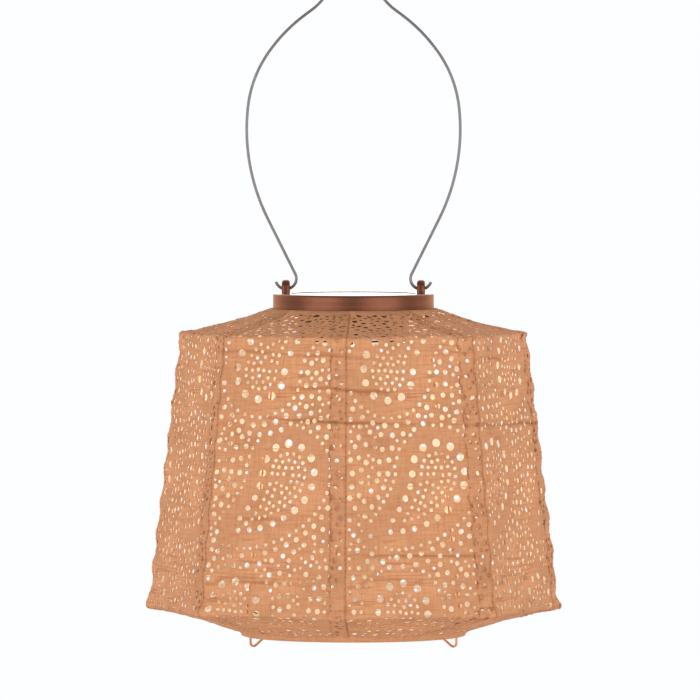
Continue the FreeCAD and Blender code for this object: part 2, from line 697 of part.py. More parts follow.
def make_window():
    body = doc.addObject("PartDesign::Body", "panel_window")
    sketch = new_sketch(body, "XY_Plane", "window_sketch", "-window_top - window_depth")
    draw_circle(sketch, "0", "0", "window_radius")
    disc = extrude(body, "Pad", "window_disc", sketch, "window_depth")
    top = value("-window_top")
    soften(body, "Chamfer", "window_edge", disc, lambda edge: abs(edge.BoundBox.ZMin - top) < 0.01,
           value("window_bevel"))
    finish(body, "panel_window")


def make_cells():
    """Six cell strips side by side on a round board."""
    strips = []
    for number in range(CELL_STRIPS):
        shift = f"(cell_width + cell_gap) * {number - CELL_STRIPS / 2} + cell_gap / 2"
        strips.append(box(f"cell_{number + 1}", ("cell_width", "cell_length", "cell_height"),
                          (shift, "-cell_length / 2", "-board_top")))
    finish(group("solar_cells", strips), "solar_cells")
    board = rod("panel_board_disc", "board_radius", "board_depth", ("0", "0", "-board_top - board_depth"))
    finish(group("panel_board", [board]), "panel_board")


def make_seal():
    outer = rod("seal_outer", "seal_radius", "seal_height", ("0", "0", "-web_depth - seal_height"))
    inner = rod("seal_inner", "seal_bore", "seal_height + overshoot * 2",
                ("0", "0", "-web_depth - seal_height - overshoot"))
    finish(combine("Cut", "seal_ring", outer, inner), "seal_ring")


def make_case():
    """Electronics case: an open cup with a flange, a battery bay, a lamp hole and a switch slot."""
    body = doc.addObject("PartDesign::Body", "unit_case")
    top = "-web_depth - seal_height"
    revolve(body, "case_cup", [
        ("0", "-case_floor"),
        ("case_radius", "-case_floor"),
        ("case_radius", top + " - flange_height"),
        ("case_flange", top + " - flange_height"),
        ("case_flange", top),
        ("case_radius - case_wall", top),
        ("case_radius - case_wall", "-case_floor + floor_height"),
        ("0", "-case_floor + floor_height"),
    ])
    hole = new_sketch(body, "XY_Plane", "case_hole_sketch", top + " - flange_height")
    draw_circle(hole, "0", "case_pcd_radius", "screw_radius + screw_play")
    pocket = extrude(body, "Pocket", "case_hole", hole, "flange_height", backwards=True)
    repeat_round(body, "case_holes", pocket, CASE_SCREWS)
    floor = new_sketch(body, "XY_Plane", "floor_sketch", "-case_floor")
    draw_circle(floor, "0", "0", "lamp_hole")
    draw_outline(floor, rectangle("0", "bay_y", "bay_length", "bay_width"))
    draw_outline(floor, rectangle("0", "switch_y", "switch_slot_length", "switch_slot_width"))
    draw_circle(floor, "0", "cover_screw_y", "screw_radius + floor_play")
    extrude(body, "Pocket", "floor_openings", floor, "floor_height", backwards=True)
    finish(body, "unit_case")


def rectangle(x, y, length, width):
    half_long = f"({length}) / 2"
    half_wide = f"({width}) / 2"
    return [
        (f"{x} - {half_long}", f"{y} - {half_wide}"),
        (f"{x} + {half_long}", f"{y} - {half_wide}"),
        (f"{x} + {half_long}", f"{y} + {half_wide}"),
        (f"{x} - {half_long}", f"{y} + {half_wide}"),
    ]


def make_battery():
    """AAA cell lying along X, a contact plate at each end and a coil spring at the negative end."""
    level = "-battery_drop"
    cell = rod("battery_can", "battery_radius", "battery_length - nub_height", ("0", "0", "0"))
    nub = rod("battery_nub", "nub_radius", "nub_height * 2", ("0", "0", "-nub_height"))
    whole = combine("MultiFuse", "battery_whole", cell, nub)
    lying = Rotation(Vector(0, 1, 0), 90)
    whole.Placement = Placement(Vector(0, 0, 0), lying)
    for letter, text in (("x", "-battery_length / 2 + nub_height"), ("y", "bay_y"), ("z", level)):
        whole.setExpression("Placement.Base." + letter, bound(text))
    finish(group("battery", [whole]), "battery")
    plate = ("plate_thickness", "plate_width", "plate_height")
    low = ("bay_y - plate_width / 2", level + " - plate_height / 2")
    plus = box("plus_plate", plate, ("-battery_length / 2 - plate_thickness - plus_gap", *low))
    finish(group("contact_plus", [plus]), "contact_plus")
    minus = box("minus_plate", plate, ("battery_length / 2 + spring_room", *low))
    finish(group("contact_minus", [minus]), "contact_minus")
    coil_radius = value("spring_radius")
    coil_points = []
    for step in range(int(value("spring_turns")) * SPRING_CORNERS + 1):
        angle = math.radians(step * 360 / SPRING_CORNERS)
        along = value("battery_length / 2 + spring_start") + value("spring_pitch") * step / SPRING_CORNERS
        coil_points.append(Vector(along,
                                  value("bay_y") + coil_radius * math.cos(angle),
                                  value(level) + coil_radius * math.sin(angle)))
    coil = sweep_wire("battery_spring", rounded_route(coil_points, value("spring_bend")), "spring_wire_radius")
    finish(coil, "battery_spring")


def make_battery_cover():
    body = doc.addObject("PartDesign::Body", "battery_cover")
    sketch = new_sketch(body, "XY_Plane", "cover_sketch", "-case_floor - cover_drop")
    draw_outline(sketch, rectangle("0", "cover_y", "bay_length + cover_overlap", "cover_width"))
    plate = extrude(body, "Pad", "cover_plate", sketch, "cover_height")
    soften(body, "Fillet", "cover_corners", plate,
           lambda edge: edge.BoundBox.ZLength > 1 and edge.BoundBox.XLength < 0.01,
           value("cover_corner"))
    hole = new_sketch(body, "XY_Plane", "cover_hole_sketch", "-case_floor - cover_drop")
    draw_circle(hole, "0", "cover_screw_y", "screw_radius + floor_play")
    extrude(body, "Pocket", "cover_hole", hole, "cover_drop", backwards=True)
    finish(body, "battery_cover")
    screw = make_screw("cover_screw_piece", "0", "cover_screw_y", "-case_floor - cover_drop", "cover_reach",
                       "cover_head", "cover_head_depth")
    finish(group("cover_screw", [screw]), "cover_screw")


def make_electronics():
    """Circuit board with its lamp, the lamp's lens and the two leads from the cells."""
    board = box("board_plate", ("circuit_length", "circuit_width", "circuit_height"),
                ("-circuit_length / 2", "-circuit_front", "-circuit_drop"))
    finish(group("circuit_board", [board]), "circuit_board")
    can = rod("led_can", "lamp_radius", "lamp_length", ("0", "0", "-lamp_drop"))
    dome = doc.addObject("Part::Sphere", "led_dome")
    bind(dome, Radius="lamp_radius")
    dome.setExpression("Placement.Base.z", bound("-lamp_drop"))
    finish(combine("MultiFuse", "led_piece", can, dome), "led")
    top = value("-board_top - board_depth")
    for label, x in (("panel_lead_red", value("-lead_x")), ("panel_lead_black", value("lead_x"))):
        points = [Vector(x * share, y, top - drop) for share, y, drop in LEAD_ROUTE]
        points.append(Vector(points[-1].x, points[-1].y, value("-lead_end")))
        finish(sweep_wire(label, rounded_route(points, value("lead_bend")), "lead_radius"), label)


def make_lens():
    body = doc.addObject("PartDesign::Body", "led_lens")
    revolve(body, "lens_shell", [(str(radius), f"-case_floor - {depth}") for radius, depth in LENS_PROFILE])
    finish(body, "led_lens")


def make_switch():
    """Slide switch on the case's floor: its housing inside, its knob through the slot."""
    housing = box("switch_housing", ("switch_length", "switch_width", "switch_height"),
                  ("-switch_length / 2", "switch_y - switch_width / 2", "-switch_drop"))
    finish(group("switch_body", [housing]), "switch_body")
    body = doc.addObject("PartDesign::Body", "switch_knob")
    middle = "-knob_travel / 2"
    stem = new_sketch(body, "XY_Plane", "stem_sketch", "-stem_top")
    draw_outline(stem, rectangle(middle, "switch_y", "stem_length", "stem_width"))
    extrude(body, "Pad", "stem", stem, "case_floor - stem_top + stem_root", backwards=True)
    cap = new_sketch(body, "XY_Plane", "cap_sketch", "-case_floor - cap_gap")
    draw_outline(cap, rectangle(middle, "switch_y", "cap_length", "cap_width"))
    extrude(body, "Pad", "cap", cap, "cap_height", backwards=True)
    grooves = new_sketch(body, "XY_Plane", "groove_sketch", "-case_floor - cap_gap - cap_height")
    for step in (-1, 0, 1):
        place = f"{middle} + groove_pitch * {step}"
        draw_outline(grooves, rectangle(place, "switch_y", "groove_width", "groove_length"))
    extrude(body, "Pocket", "grooves", grooves, "groove_width", backwards=True)
    finish(body, "switch_knob")


# ---- build and write -----------------------------------------------------------------------------

def build():
    fill_sheet()
    make_handle()
    make_collar()
    make_clamp_ring()
    make_screw_group("clamp_screws", CLAMP_SCREWS, "clamp_pcd_radius", 45,
                     "-collar_height - clamp_gap - clamp_height", "clamp_reach", "clamp_head")
    make_gores()
    make_hoop("top_hoop", value("shoulder_apothem - hoop_inset"), value("shoulder_drop + hoop_fold_gap"))
    make_hoop("bottom_hoop", value("base_apothem - hoop_inset - hoop_ease"), value("base_drop - hoop_fold_gap"))
    make_spiral_rib()
    make_bottom_ring()
    make_expander()
    make_window()
    make_cells()
    make_seal()
    make_case()
    make_screw_group("case_screws", CASE_SCREWS, "case_pcd_radius", 90,
                     "-web_depth - seal_height - flange_height", "case_reach", "case_head")
    make_battery()
    make_battery_cover()
    make_electronics()
    make_lens()
    make_switch()
    doc.recompute()


def check_and_write():
    for thing in doc.Objects:
        if "Invalid" in thing.State or "Error" in thing.State:
            raise RuntimeError(f"{thing.Name} failed: {thing.State}")
    os.makedirs("parts", exist_ok=True)
    for part in subparts:
        shape = part.Shape
        if shape.isNull() or not shape.isValid() or not shape.Solids:
            raise RuntimeError(f"{part.Label} has no valid solid")
        shape.exportStep(os.path.join("parts", part.Label + ".step"))
        print(f"{part.Label:18s} {len(shape.Solids):2d} solid(s) {shape.Volume:10.1f} mm3")


build()
check_and_write()
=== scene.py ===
import math
import random

import bpy
import numpy as np
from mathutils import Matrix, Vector, noise
from mathutils.geometry import delaunay_2d_cdt


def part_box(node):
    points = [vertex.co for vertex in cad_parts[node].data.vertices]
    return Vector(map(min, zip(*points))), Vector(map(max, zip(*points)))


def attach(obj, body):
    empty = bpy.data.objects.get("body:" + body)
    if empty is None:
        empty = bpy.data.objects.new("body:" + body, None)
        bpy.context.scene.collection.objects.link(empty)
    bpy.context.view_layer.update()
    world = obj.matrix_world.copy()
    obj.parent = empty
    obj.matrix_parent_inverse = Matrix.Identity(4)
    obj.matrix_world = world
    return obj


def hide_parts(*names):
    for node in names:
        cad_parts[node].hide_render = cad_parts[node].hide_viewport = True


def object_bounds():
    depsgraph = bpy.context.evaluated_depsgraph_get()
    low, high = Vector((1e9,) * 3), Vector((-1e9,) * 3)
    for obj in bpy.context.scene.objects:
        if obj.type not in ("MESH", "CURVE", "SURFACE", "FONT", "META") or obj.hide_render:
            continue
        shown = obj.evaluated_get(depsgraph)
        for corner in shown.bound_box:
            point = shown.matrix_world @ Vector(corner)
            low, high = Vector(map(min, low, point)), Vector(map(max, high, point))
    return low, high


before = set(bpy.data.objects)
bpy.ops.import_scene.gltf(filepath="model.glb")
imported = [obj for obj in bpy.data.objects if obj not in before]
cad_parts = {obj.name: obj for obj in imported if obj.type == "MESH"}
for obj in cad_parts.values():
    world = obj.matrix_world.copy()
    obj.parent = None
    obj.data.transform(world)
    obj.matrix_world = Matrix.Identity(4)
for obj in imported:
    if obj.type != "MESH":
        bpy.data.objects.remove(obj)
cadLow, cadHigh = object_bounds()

mm = 0.001
print("frame loaded:", len(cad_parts), "CAD nodes")


# small helpers

def hexColour(text):
    # an sRGB hex value as the linear colour that a shader takes
    parts = [int(text[i:i + 2], 16) / 255 for i in (1, 3, 5)]
    return [p / 12.92 if p <= 0.04045 else ((p + 0.055) / 1.055) ** 2.4 for p in parts] + [1.0]


def addNode(tree, kind, inputs=None, **settings):
    # one node, its settings, and its inputs as numbers or as links from other nodes' outputs
    node = tree.nodes.new(kind)
    for name, value in settings.items():
        setattr(node, name, value)
    for name, value in (inputs or {}).items():
        if isinstance(value, bpy.types.NodeSocket):
            tree.links.new(value, node.inputs[name])
        else:
            node.inputs[name].default_value = value
    return node


def addRamp(tree, factor, stops):
    # a colour ramp from a list of (place, hex colour)
    ramp = addNode(tree, "ShaderNodeValToRGB", {"Fac": factor})
    elements = ramp.color_ramp.elements
    for element, (place, text) in zip(elements, (stops[0], stops[-1])):
        element.position = place
        element.color = hexColour(text)
    for place, text in stops[1:-1]:
        elements.new(place).color = hexColour(text)
    return ramp.outputs["Color"]


def newMaterial(name):
    material = bpy.data.materials.new(name)
    material.use_nodes = True
    tree = material.node_tree
    shader = tree.nodes["Principled BSDF"]
    return material, tree, shader


def selectOnly(piece):
    bpy.ops.object.select_all(action="DESELECT")
    piece.select_set(True)
    bpy.context.view_layer.objects.active = piece


def smoothStep(low, high, value):
    t = np.clip((value - low) / (high - low), 0.0, 1.0)
    return t * t * (3 - 2 * t)


def bell(value, width):
    return np.exp(-(value / width) ** 2)


def noiseAt(points):
    # Perlin noise, about -1 to 1, at rows of x, y, z
    return np.array([noise.noise(Vector(p)) for p in points])


def finishPiece(piece, materials, angle=35):
    for material in materials:
        piece.data.materials.append(material)
    selectOnly(piece)
    bpy.ops.object.shade_smooth_by_angle(angle=math.radians(angle))
    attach(piece, "lantern")
    return piece


def meshPiece(name, points, faces):
    # a new object at the origin from points in millimetres
    mesh = bpy.data.meshes.new(name)
    mesh.from_pydata([tuple(p * mm for p in point) for point in points], [], faces)
    mesh.update()
    piece = bpy.data.objects.new(name, mesh)
    bpy.context.scene.collection.objects.link(piece)
    return piece


def applyModifiers(piece):
    selectOnly(piece)
    for modifier in list(piece.modifiers):
        bpy.ops.object.modifier_apply(modifier=modifier.name)


# materials of the shade

clothLook = {
    "outside": "#EDAB7E",
    "outsideDark": "#D28C61",
    "outsideLight": "#F7BE96",
    "inside": "#FAECE0",
    "throughLight": "#EDB790",
    "translucency": 0.10,
    "threadPitch": 1.5,    # mm; the real 0.4 mm threads are too fine to show, so the slubs are drawn coarser
    "slubLength": 14.0,    # mm
    "crinklePitch": 2.4,   # mm
    "crinkleLength": 16.0,
    "patchSize": 60.0,     # mm, fading and folding in the packet
    "foldPitch": 10.0,     # mm, the thin pressed lines that run round the shade
    "foldLength": 130.0,
    # the colour of the painted shade in the folds, grooves, seams and pressed lines
    "paintedCreaseShade": "#9A5C3A",
}


def clothMaterial(name, face, back, look):
    # crinkled polyester cloth, woven and stiffened: dull, with slubs along both threads, and a little light
    # comes through; painted shade darkens its crinkles, pressed lines, folds and seams
    material, tree, shader = newMaterial(name)
    place = addNode(tree, "ShaderNodeUVMap", uv_map="clothMap").outputs["UV"]   # metres on the flat cloth
    threads = []
    for along in (0, 1):
        stretch = [1000 / look["threadPitch"]] * 2 + [1.0]
        stretch[along] = 1000 / look["slubLength"]
        mapped = addNode(tree, "ShaderNodeMapping", {"Vector": place, "Scale": stretch}, vector_type="POINT")
        threads.append(addNode(tree, "ShaderNodeTexNoise", {
            "Vector": mapped.outputs["Vector"], "Scale": 1.0, "Detail": 2.0,
            "Roughness": 0.6}).outputs["Fac"])
    weave = addNode(tree, "ShaderNodeMath", {0: threads[0], 1: threads[1]}, operation="ADD").outputs[0]
    half = addNode(tree, "ShaderNodeMath", {0: weave, 1: 0.5}, operation="MULTIPLY").outputs[0]
    patches = addNode(tree, "ShaderNodeTexNoise", {
        "Vector": place, "Scale": 1000 / look["patchSize"], "Detail": 3.0, "Roughness": 0.55}).outputs["Fac"]
    crinkleMap = addNode(tree, "ShaderNodeMapping", {
        "Vector": place, "Scale": (1000 / look["crinkleLength"], 1000 / look["crinklePitch"], 1.0),
    }).outputs["Vector"]
    crinkle = addNode(tree, "ShaderNodeTexNoise", {
        "Vector": crinkleMap, "Scale": 1.0, "Detail": 3.0, "Roughness": 0.5,
        "Distortion": 0.6}).outputs["Fac"]
    woven = addRamp(tree, half, [(0.36, look["outsideDark"]), (0.50, face), (0.64, look["outsideLight"])])
    base = addNode(tree, "ShaderNodeMix", {0: 0.5, 6: woven, 7: hexColour(face)}, data_type="RGBA").outputs[2]
    uneven = addRamp(tree, patches, [(0.30, "#DCDCDC"), (0.70, "#FFFFFF")])
    tinted = addNode(tree, "ShaderNodeMix", {0: 1.0, 6: base, 7: uneven}, data_type="RGBA",
                     blend_type="MULTIPLY").outputs[2]
    # painted shade: the crinkles' valleys are darkened towards #B88468, more strongly near the seams
    lines = addRamp(tree, crinkle, [(0.30, "#B88468"), (0.42, "#FFFFFF")])
    seamNear = addNode(tree, "ShaderNodeAttribute", attribute_name="seamNear").outputs["Fac"]
    crinkleShadeShare = addNode(tree, "ShaderNodeMapRange", {
        "Value": seamNear, "To Min": 0.12, "To Max": 0.22}).outputs["Result"]
    crinkleShaded = addNode(tree, "ShaderNodeMix", {0: crinkleShadeShare, 6: tinted, 7: lines}, data_type="RGBA",
                      blend_type="MULTIPLY").outputs[2]
    # the pressed lines: a dent in the bump, and painted shade in the colour
    pressMap = addNode(tree, "ShaderNodeMapping", {
        "Vector": place, "Scale": (1000 / look["foldLength"], 1000 / look["foldPitch"], 1.0),
    }).outputs["Vector"]
    press = addNode(tree, "ShaderNodeTexNoise", {
        "Vector": pressMap, "Scale": 1.0, "Detail": 2.5, "Roughness": 0.5}).outputs["Fac"]
    level = addNode(tree, "ShaderNodeMath", {0: press, 1: 0.5}, operation="SUBTRACT").outputs[0]
    awayFrom = addNode(tree, "ShaderNodeMath", {0: level}, operation="ABSOLUTE").outputs[0]
    pressed = addNode(tree, "ShaderNodeMapRange", {
        "Value": awayFrom, "From Min": 0.003, "From Max": 0.018, "To Min": 1.0,
        "To Max": 0.0}).outputs["Result"]
    where = addNode(tree, "ShaderNodeMapRange", {
        "Value": patches, "From Min": 0.46, "From Max": 0.56, "To Max": 0.40}).outputs["Result"]
    pressedHere = addNode(tree, "ShaderNodeMath", {0: pressed, 1: where}, operation="MULTIPLY").outputs[0]
    # painted shade: the colour darkens towards the crease shade where foldShade marks grooves and seams, and
    # along the pressed lines
    marks = addNode(tree, "ShaderNodeAttribute", attribute_name="foldShade").outputs["Fac"]
    dark = addNode(tree, "ShaderNodeMath", {0: marks, 1: pressedHere}, operation="MAXIMUM").outputs[0]
    final = addNode(tree, "ShaderNodeMix", {0: dark, 6: crinkleShaded, 7: hexColour(look["paintedCreaseShade"])},
                    data_type="RGBA").outputs[2]
    raised = addNode(tree, "ShaderNodeMath", {0: half, 1: crinkle}, operation="ADD").outputs[0]
    height = addNode(tree, "ShaderNodeMath", {0: raised, 1: pressedHere}, operation="SUBTRACT").outputs[0]
    bump = addNode(tree, "ShaderNodeBump", {
        "Height": height, "Distance": 0.5 * mm, "Strength": 0.55}).outputs["Normal"]
    shader.inputs["Roughness"].default_value = 0.78
    shader.inputs["Specular IOR Level"].default_value = 0.12
    tree.links.new(final, shader.inputs["Base Color"])
    tree.links.new(bump, shader.inputs["Normal"])
    through = addNode(tree, "ShaderNodeBsdfTranslucent", {"Color": hexColour(back), "Normal": bump})
    mixed = addNode(tree, "ShaderNodeMixShader", {
        0: look["translucency"], 1: shader.outputs[0], 2: through.outputs[0]})
    tree.links.new(mixed.outputs[0], tree.nodes["Material Output"].inputs["Surface"])
    return material


clothOutside = clothMaterial("crinkledPolyesterOutside", clothLook["outside"], clothLook["throughLight"],
                             clothLook)
clothInside = clothMaterial("crinkledPolyesterInside", clothLook["inside"], clothLook["throughLight"], dict(
    clothLook, outsideDark="#F0DAC8", outsideLight="#FCF2EA", paintedCreaseShade="#C99878"))


# the shade's own measures, in millimetres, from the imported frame

goreCount = 8
halfGore = math.pi / goreCount
gores = [f"shade_gore_{number}" for number in range(1, goreCount + 1)]
goreAngles = [(2 * number - goreCount * 0.375) * halfGore for number in range(goreCount)]
seam = {"allowance": 12.0, "waver": 1.9, "widerHoles": 0.4}     # wider, so that more light passes both layers
ringLow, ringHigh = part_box("bottom_ring")
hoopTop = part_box("top_hoop")
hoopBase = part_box("bottom_hoop")
ribLow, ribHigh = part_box("spiral_rib")
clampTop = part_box("clamp_ring")[1]
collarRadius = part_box("top_collar")[1].x / mm
ringWire = (ringHigh.z - ringLow.z) / 2 / mm
ringRadius = ringHigh.x / mm - ringWire
ringLevel = (ringHigh.z + ringLow.z) / 2 / mm
shadeReach = max(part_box(name)[1].x for name in gores) / mm

shade = {
    "ribTurns": 8,
    "ribWire": 0.55,
    "shoulderOverHoop": 1.1,      # the fold lies this far above the hoop's middle
    "shoulderOutsideHoop": 1.2,
    "baseUnderHoop": 1.1,
    "mouthStandOff": 2.6,         # the cloth clears the bottom ring's middle by this
    "hemDrop": 1.3,
    "foldWidth": 1.6,
    "thickness": 0.35,
    "scallop": 1.35,
    "baseScallop": 0.8,
    "slopeSag": 1.5,
    "seamSag": 1.1,
    "crinkle": 0.30,
    "undulation": 0.75,
    "seamGroove": 0.9,
    "pucker": 0.40,
    "seed": 11,
}
shoulderZ = (hoopTop[0].z + hoopTop[1].z) / 2 / mm + shade["shoulderOverHoop"]
shoulderA = hoopTop[1].x / mm * math.cos(halfGore) + shade["shoulderOutsideHoop"]
baseZ = (hoopBase[0].z + hoopBase[1].z) / 2 / mm - shade["baseUnderHoop"]
baseA = shadeReach * math.cos(halfGore)
clampZ = clampTop.z / mm + shade["thickness"]
ribStart = ribHigh.z / mm - shade["ribWire"]
ribPitch = (ribStart - ribLow.z / mm - shade["ribWire"]) / shade["ribTurns"]

# from under the collar, over both hoops, to the hem under the bottom ring: (apothem, z)
profile = np.array([
    (collarRadius - 2.3, clampZ),
    (collarRadius + 1.2, clampZ + 0.1),
    (shoulderA, shoulderZ),
    (baseA, baseZ),
    (ringRadius + shade["mouthStandOff"] + 0.6, ringLevel + 1.5),
    (ringRadius + shade["mouthStandOff"] - 0.4, ringLevel - shade["hemDrop"]),
])
runs = np.hypot(*np.diff(profile, axis=0).T)
stops = np.concatenate([[0.0], np.cumsum(runs)])     # length along the cloth at each fold
shoulderS, baseS, mouthS, hemS = stops[2:]


def alongProfile(s):
    # apothem and z at a length along the cloth, with the folds rounded
    total = np.zeros((len(s), 2))
    offsets = np.linspace(-shade["foldWidth"], shade["foldWidth"], 7)
    for offset in offsets:
        at = np.clip(s + offset, 0.0, hemS)
        total += np.stack([np.interp(at, stops, profile[:, 0]), np.interp(at, stops, profile[:, 1])], axis=1)
    rounded = total / len(offsets)
    exact = np.stack([np.interp(s, stops, profile[:, 0]), np.interp(s, stops, profile[:, 1])], axis=1)
    share = (smoothStep(3, 9, s) * (1 - smoothStep(hemS - 7, hemS - 3, s)))[:, None]
    return exact * (1 - share) + rounded * share


def halfWidth(s):
    return np.interp(s, stops, profile[:, 0]) * math.tan(halfGore)


def allowanceWidth(number, s):
    # how far the turned-in seam allowance reaches from the gore's right side, in mm: its raw edge wavers
    waver = noiseAt(np.stack([s / 8, s * 0 + number * 2.7, s * 0], axis=1)) * seam["waver"]
    waver += noiseAt(np.stack([s / 2.7, s * 0 + number * 2.7, s * 0 + 5], axis=1)) * seam["waver"] * 0.25
    return np.minimum(seam["allowance"], halfWidth(s) * 0.5) + waver


def clothSurface(number, x, s, inset=0.0):
    # where a point of the flat gore lies in space, in mm: x across the gore, s along it
    flat = alongProfile(s)
    apothem, z = flat[:, 0], flat[:, 1]
    ahead = alongProfile(np.minimum(s + 0.6, hemS)) - alongProfile(np.maximum(s - 0.6, 0.0))
    ahead /= np.linalg.norm(ahead, axis=1)[:, None]
    outR, outZ = -ahead[:, 1], ahead[:, 0]              # the cloth's outward normal in the (radius, z) plane
    goreAngle = goreAngles[number]
    width = halfWidth(s)
    across = np.clip(x / width, -1.0, 1.0)
    turn = np.arctan(across * math.tan(halfGore))
    angle = goreAngle + turn
    toSeam = (1 - np.abs(across)) * width
    roundTop = 1 - smoothStep(collarRadius + 2, collarRadius + 24, apothem)
    roundMouth = 1 - smoothStep(ringRadius + 4, ringRadius + 20, apothem)
    isRound = np.where(s < shoulderS, roundTop, np.where(s > baseS, roundMouth, 0.0))
    radius = apothem * ((1 - isRound) / np.cos(turn) + isRound * 1.012)

    onSide = smoothStep(shoulderS - 1, shoulderS + 5, s) * (1 - smoothStep(baseS - 5, baseS + 1, s))
    onTop = 1 - smoothStep(shoulderS - 3, shoulderS + 1, s)
    onBottom = smoothStep(baseS - 1, baseS + 3, s)
    corner = (1 - smoothStep(0, 20, toSeam)) ** 1.5
    free = smoothStep(4.5, 11, s) * (1 - smoothStep(mouthS - 2, mouthS + 1, s))

    # the spiral rib: how far this point is from the nearest turn, and its place along the spiral
    wound = (ribStart - z) / ribPitch - (angle - math.pi) / (2 * math.pi)
    phase = wound - np.floor(wound)
    fromRib = (phase - np.round(phase)) * ribPitch
    spiral = (ribStart - z) / ribPitch
    hollow = 0.5 - 0.5 * np.cos(2 * np.pi * phase)
    ringX = np.cos(angle)
    ringY = np.sin(angle)
    strong = noiseAt(np.stack([spiral * 2.3, ringX * 1.3, ringY * 1.3 + 4.0], axis=1))
    strong = smoothStep(0.0, 0.45, strong)
    wander = noiseAt(np.stack([ringX * 5, ringY * 5, spiral * 3 + 7], axis=1)) * 1.6

    out = -shade["scallop"] * hollow * corner * onSide
    out -= 0.35 * hollow * (1 - corner) * onSide
    out -= shade["baseScallop"] * corner * bell(s - baseS + 14, 9)
    out += 1.1 * corner * bell(s - baseS + 2, 4)
    out += 1.3 * corner * bell(s - baseS - 5, 8)
    out += 0.12 * bell(fromRib, 2.2) * onSide
    out += 0.65 * bell(s - shoulderS, 2.6)
    groove = bell(fromRib - 2.4 - wander, 0.9) * strong * onSide
    out -= 0.50 * groove
    slope = np.clip(np.where(s < shoulderS, (s - stops[1]) / (shoulderS - stops[1]),
                             (s - baseS) / (mouthS - baseS)), 0, 1)
    sag = np.sin(np.pi * slope) * (onTop + 0.5 * onBottom)
    out -= (shade["slopeSag"] + shade["seamSag"] * corner) * sag
    ear = bell(toSeam, 7) * onTop * smoothStep(shoulderS - 11.5, shoulderS - 9.5, s)
    out -= 0.21 * np.clip(shoulderS - s, 0, 11) * ear
    pleats = np.sin(angle * 58 + 3 * noiseAt(np.stack([ringX * 4, ringY * 4, z * 0.02], axis=1)))
    out += 0.35 * pleats * (1 - smoothStep(collarRadius + 4, collarRadius + 26, apothem)) * onTop
    out += 0.30 * pleats * (1 - smoothStep(ringRadius + 4, ringRadius + 26, apothem)) * onBottom

    # crinkles run round the shade, and gather along the seams
    nearSeam = bell(toSeam, 9)
    fine = noiseAt(np.stack([ringX * 9, ringY * 9, s / 2.1], axis=1))
    middle = noiseAt(np.stack([ringX * 5, ringY * 5, s / 4.6 + 20], axis=1))
    broad = noiseAt(np.stack([ringX * 2.6, ringY * 2.6, s / 17 + 40], axis=1))
    out += shade["crinkle"] * (middle * 1.1 + fine * (0.35 + 1.1 * nearSeam))
    out += shade["undulation"] * broad * (1 - 0.5 * corner)
    cornerNumber = np.round((angle + math.pi) / (2 * halfGore))
    pucker = noiseAt(np.stack([cornerNumber * 3.1, s / 2.6, s * 0], axis=1))
    out += shade["pucker"] * pucker * bell(toSeam, 4.5)
    out -= shade["seamGroove"] * bell(toSeam, 1.1)
    edgeLine = width - allowanceWidth(number, s)
    broken = smoothStep(-0.25, 0.2, noiseAt(np.stack([s / 5, s * 0 + number, s * 0 + 9], axis=1)))
    ridge = bell(x - edgeLine, 0.55) * broken
    out -= 0.45 * ridge
    out += 0.25 * smoothStep(-0.8, 0.8, x - edgeLine) * (1 - smoothStep(0, 5, x - edgeLine))
    out = out * free - inset
    radius = radius + out * outR
    height = z + out * outZ
    points = np.stack([radius * ringX, radius * ringY, height], axis=1)
    # painted shade: how much the colour darkens in the rib's grooves, along the allowance's raw edge and in
    # the seam
    folds = np.clip(0.75 * groove + 0.8 * ridge + 0.5 * bell(toSeam, 0.8), 0, 1)
    return points, folds * free, nearSeam


print("shade measured: cloth is", round(hemS, 1), "mm from collar to hem")


# the cut pattern: teardrop motifs of round holes, with rows that follow them inside and out

motif = {
    "headRadius": 19.5,
    "tip": (-41.0, -41.0),
    "repeat": 100.0,
    "outline": {"smallRadius": 1.7, "largeRadius": 2.8, "smallStep": 7.6, "largeStep": 9.7},
    # rows beside the outline: offset, hole radius, spacing
    "insideRows": [(-7.0, 1.35, 4.7), (-11.5, 1.30, 4.5), (-16.0, 1.35, 4.6)],
    "outsideRows": [(12.4, 1.38, 5.0), (17.6, 1.95, 7.6), (24.0, 1.85, 8.0)],
    "blankBand": (-4.4, 9.6),     # no loose holes this close to an outline
    "gap": 1.15,                  # cloth left between two holes
    "slopeGap": 0.8,              # the same on the top slope
    "looseTries": 5200,
    "slopeTries": 800,            # the first of them fall on the top slope
    "jitter": 0.25,
    "looseRadii": (1.15, 1.25, 1.35, 1.75, 2.0),
}
# each row of motifs: how far its heads are from the shoulder along the cloth, size, and whether it is upright
motifRows = [
    {"fromShoulder": 25.0, "scale": 0.93, "upright": False},
    {"fromShoulder": 92.5, "scale": 1.0, "upright": True},
    {"fromShoulder": 187.0, "scale": 0.93, "upright": True},
    {"fromShoulder": -40.0, "scale": 0.8, "upright": True},
]
# how far each gore was cut sideways out of the printed cloth, for the four rows
goreShifts = [
    (-17, 17, -13, 30), (8, -32, 21, -8), (31, 4, -24, 12), (-28, 38, 6, -20),
    (12, -14, 33, 25), (-36, 22, -6, 5), (24, 44, -38, -30), (-17, 7.5, -30, 16),
]


def bezier(points, share):
    a, b, c, d = [np.array(p, float) for p in points]
    t = share[:, None]
    return a * (1 - t) ** 3 + 3 * b * t * (1 - t) ** 2 + 3 * c * t * t * (1 - t) + d * t ** 3


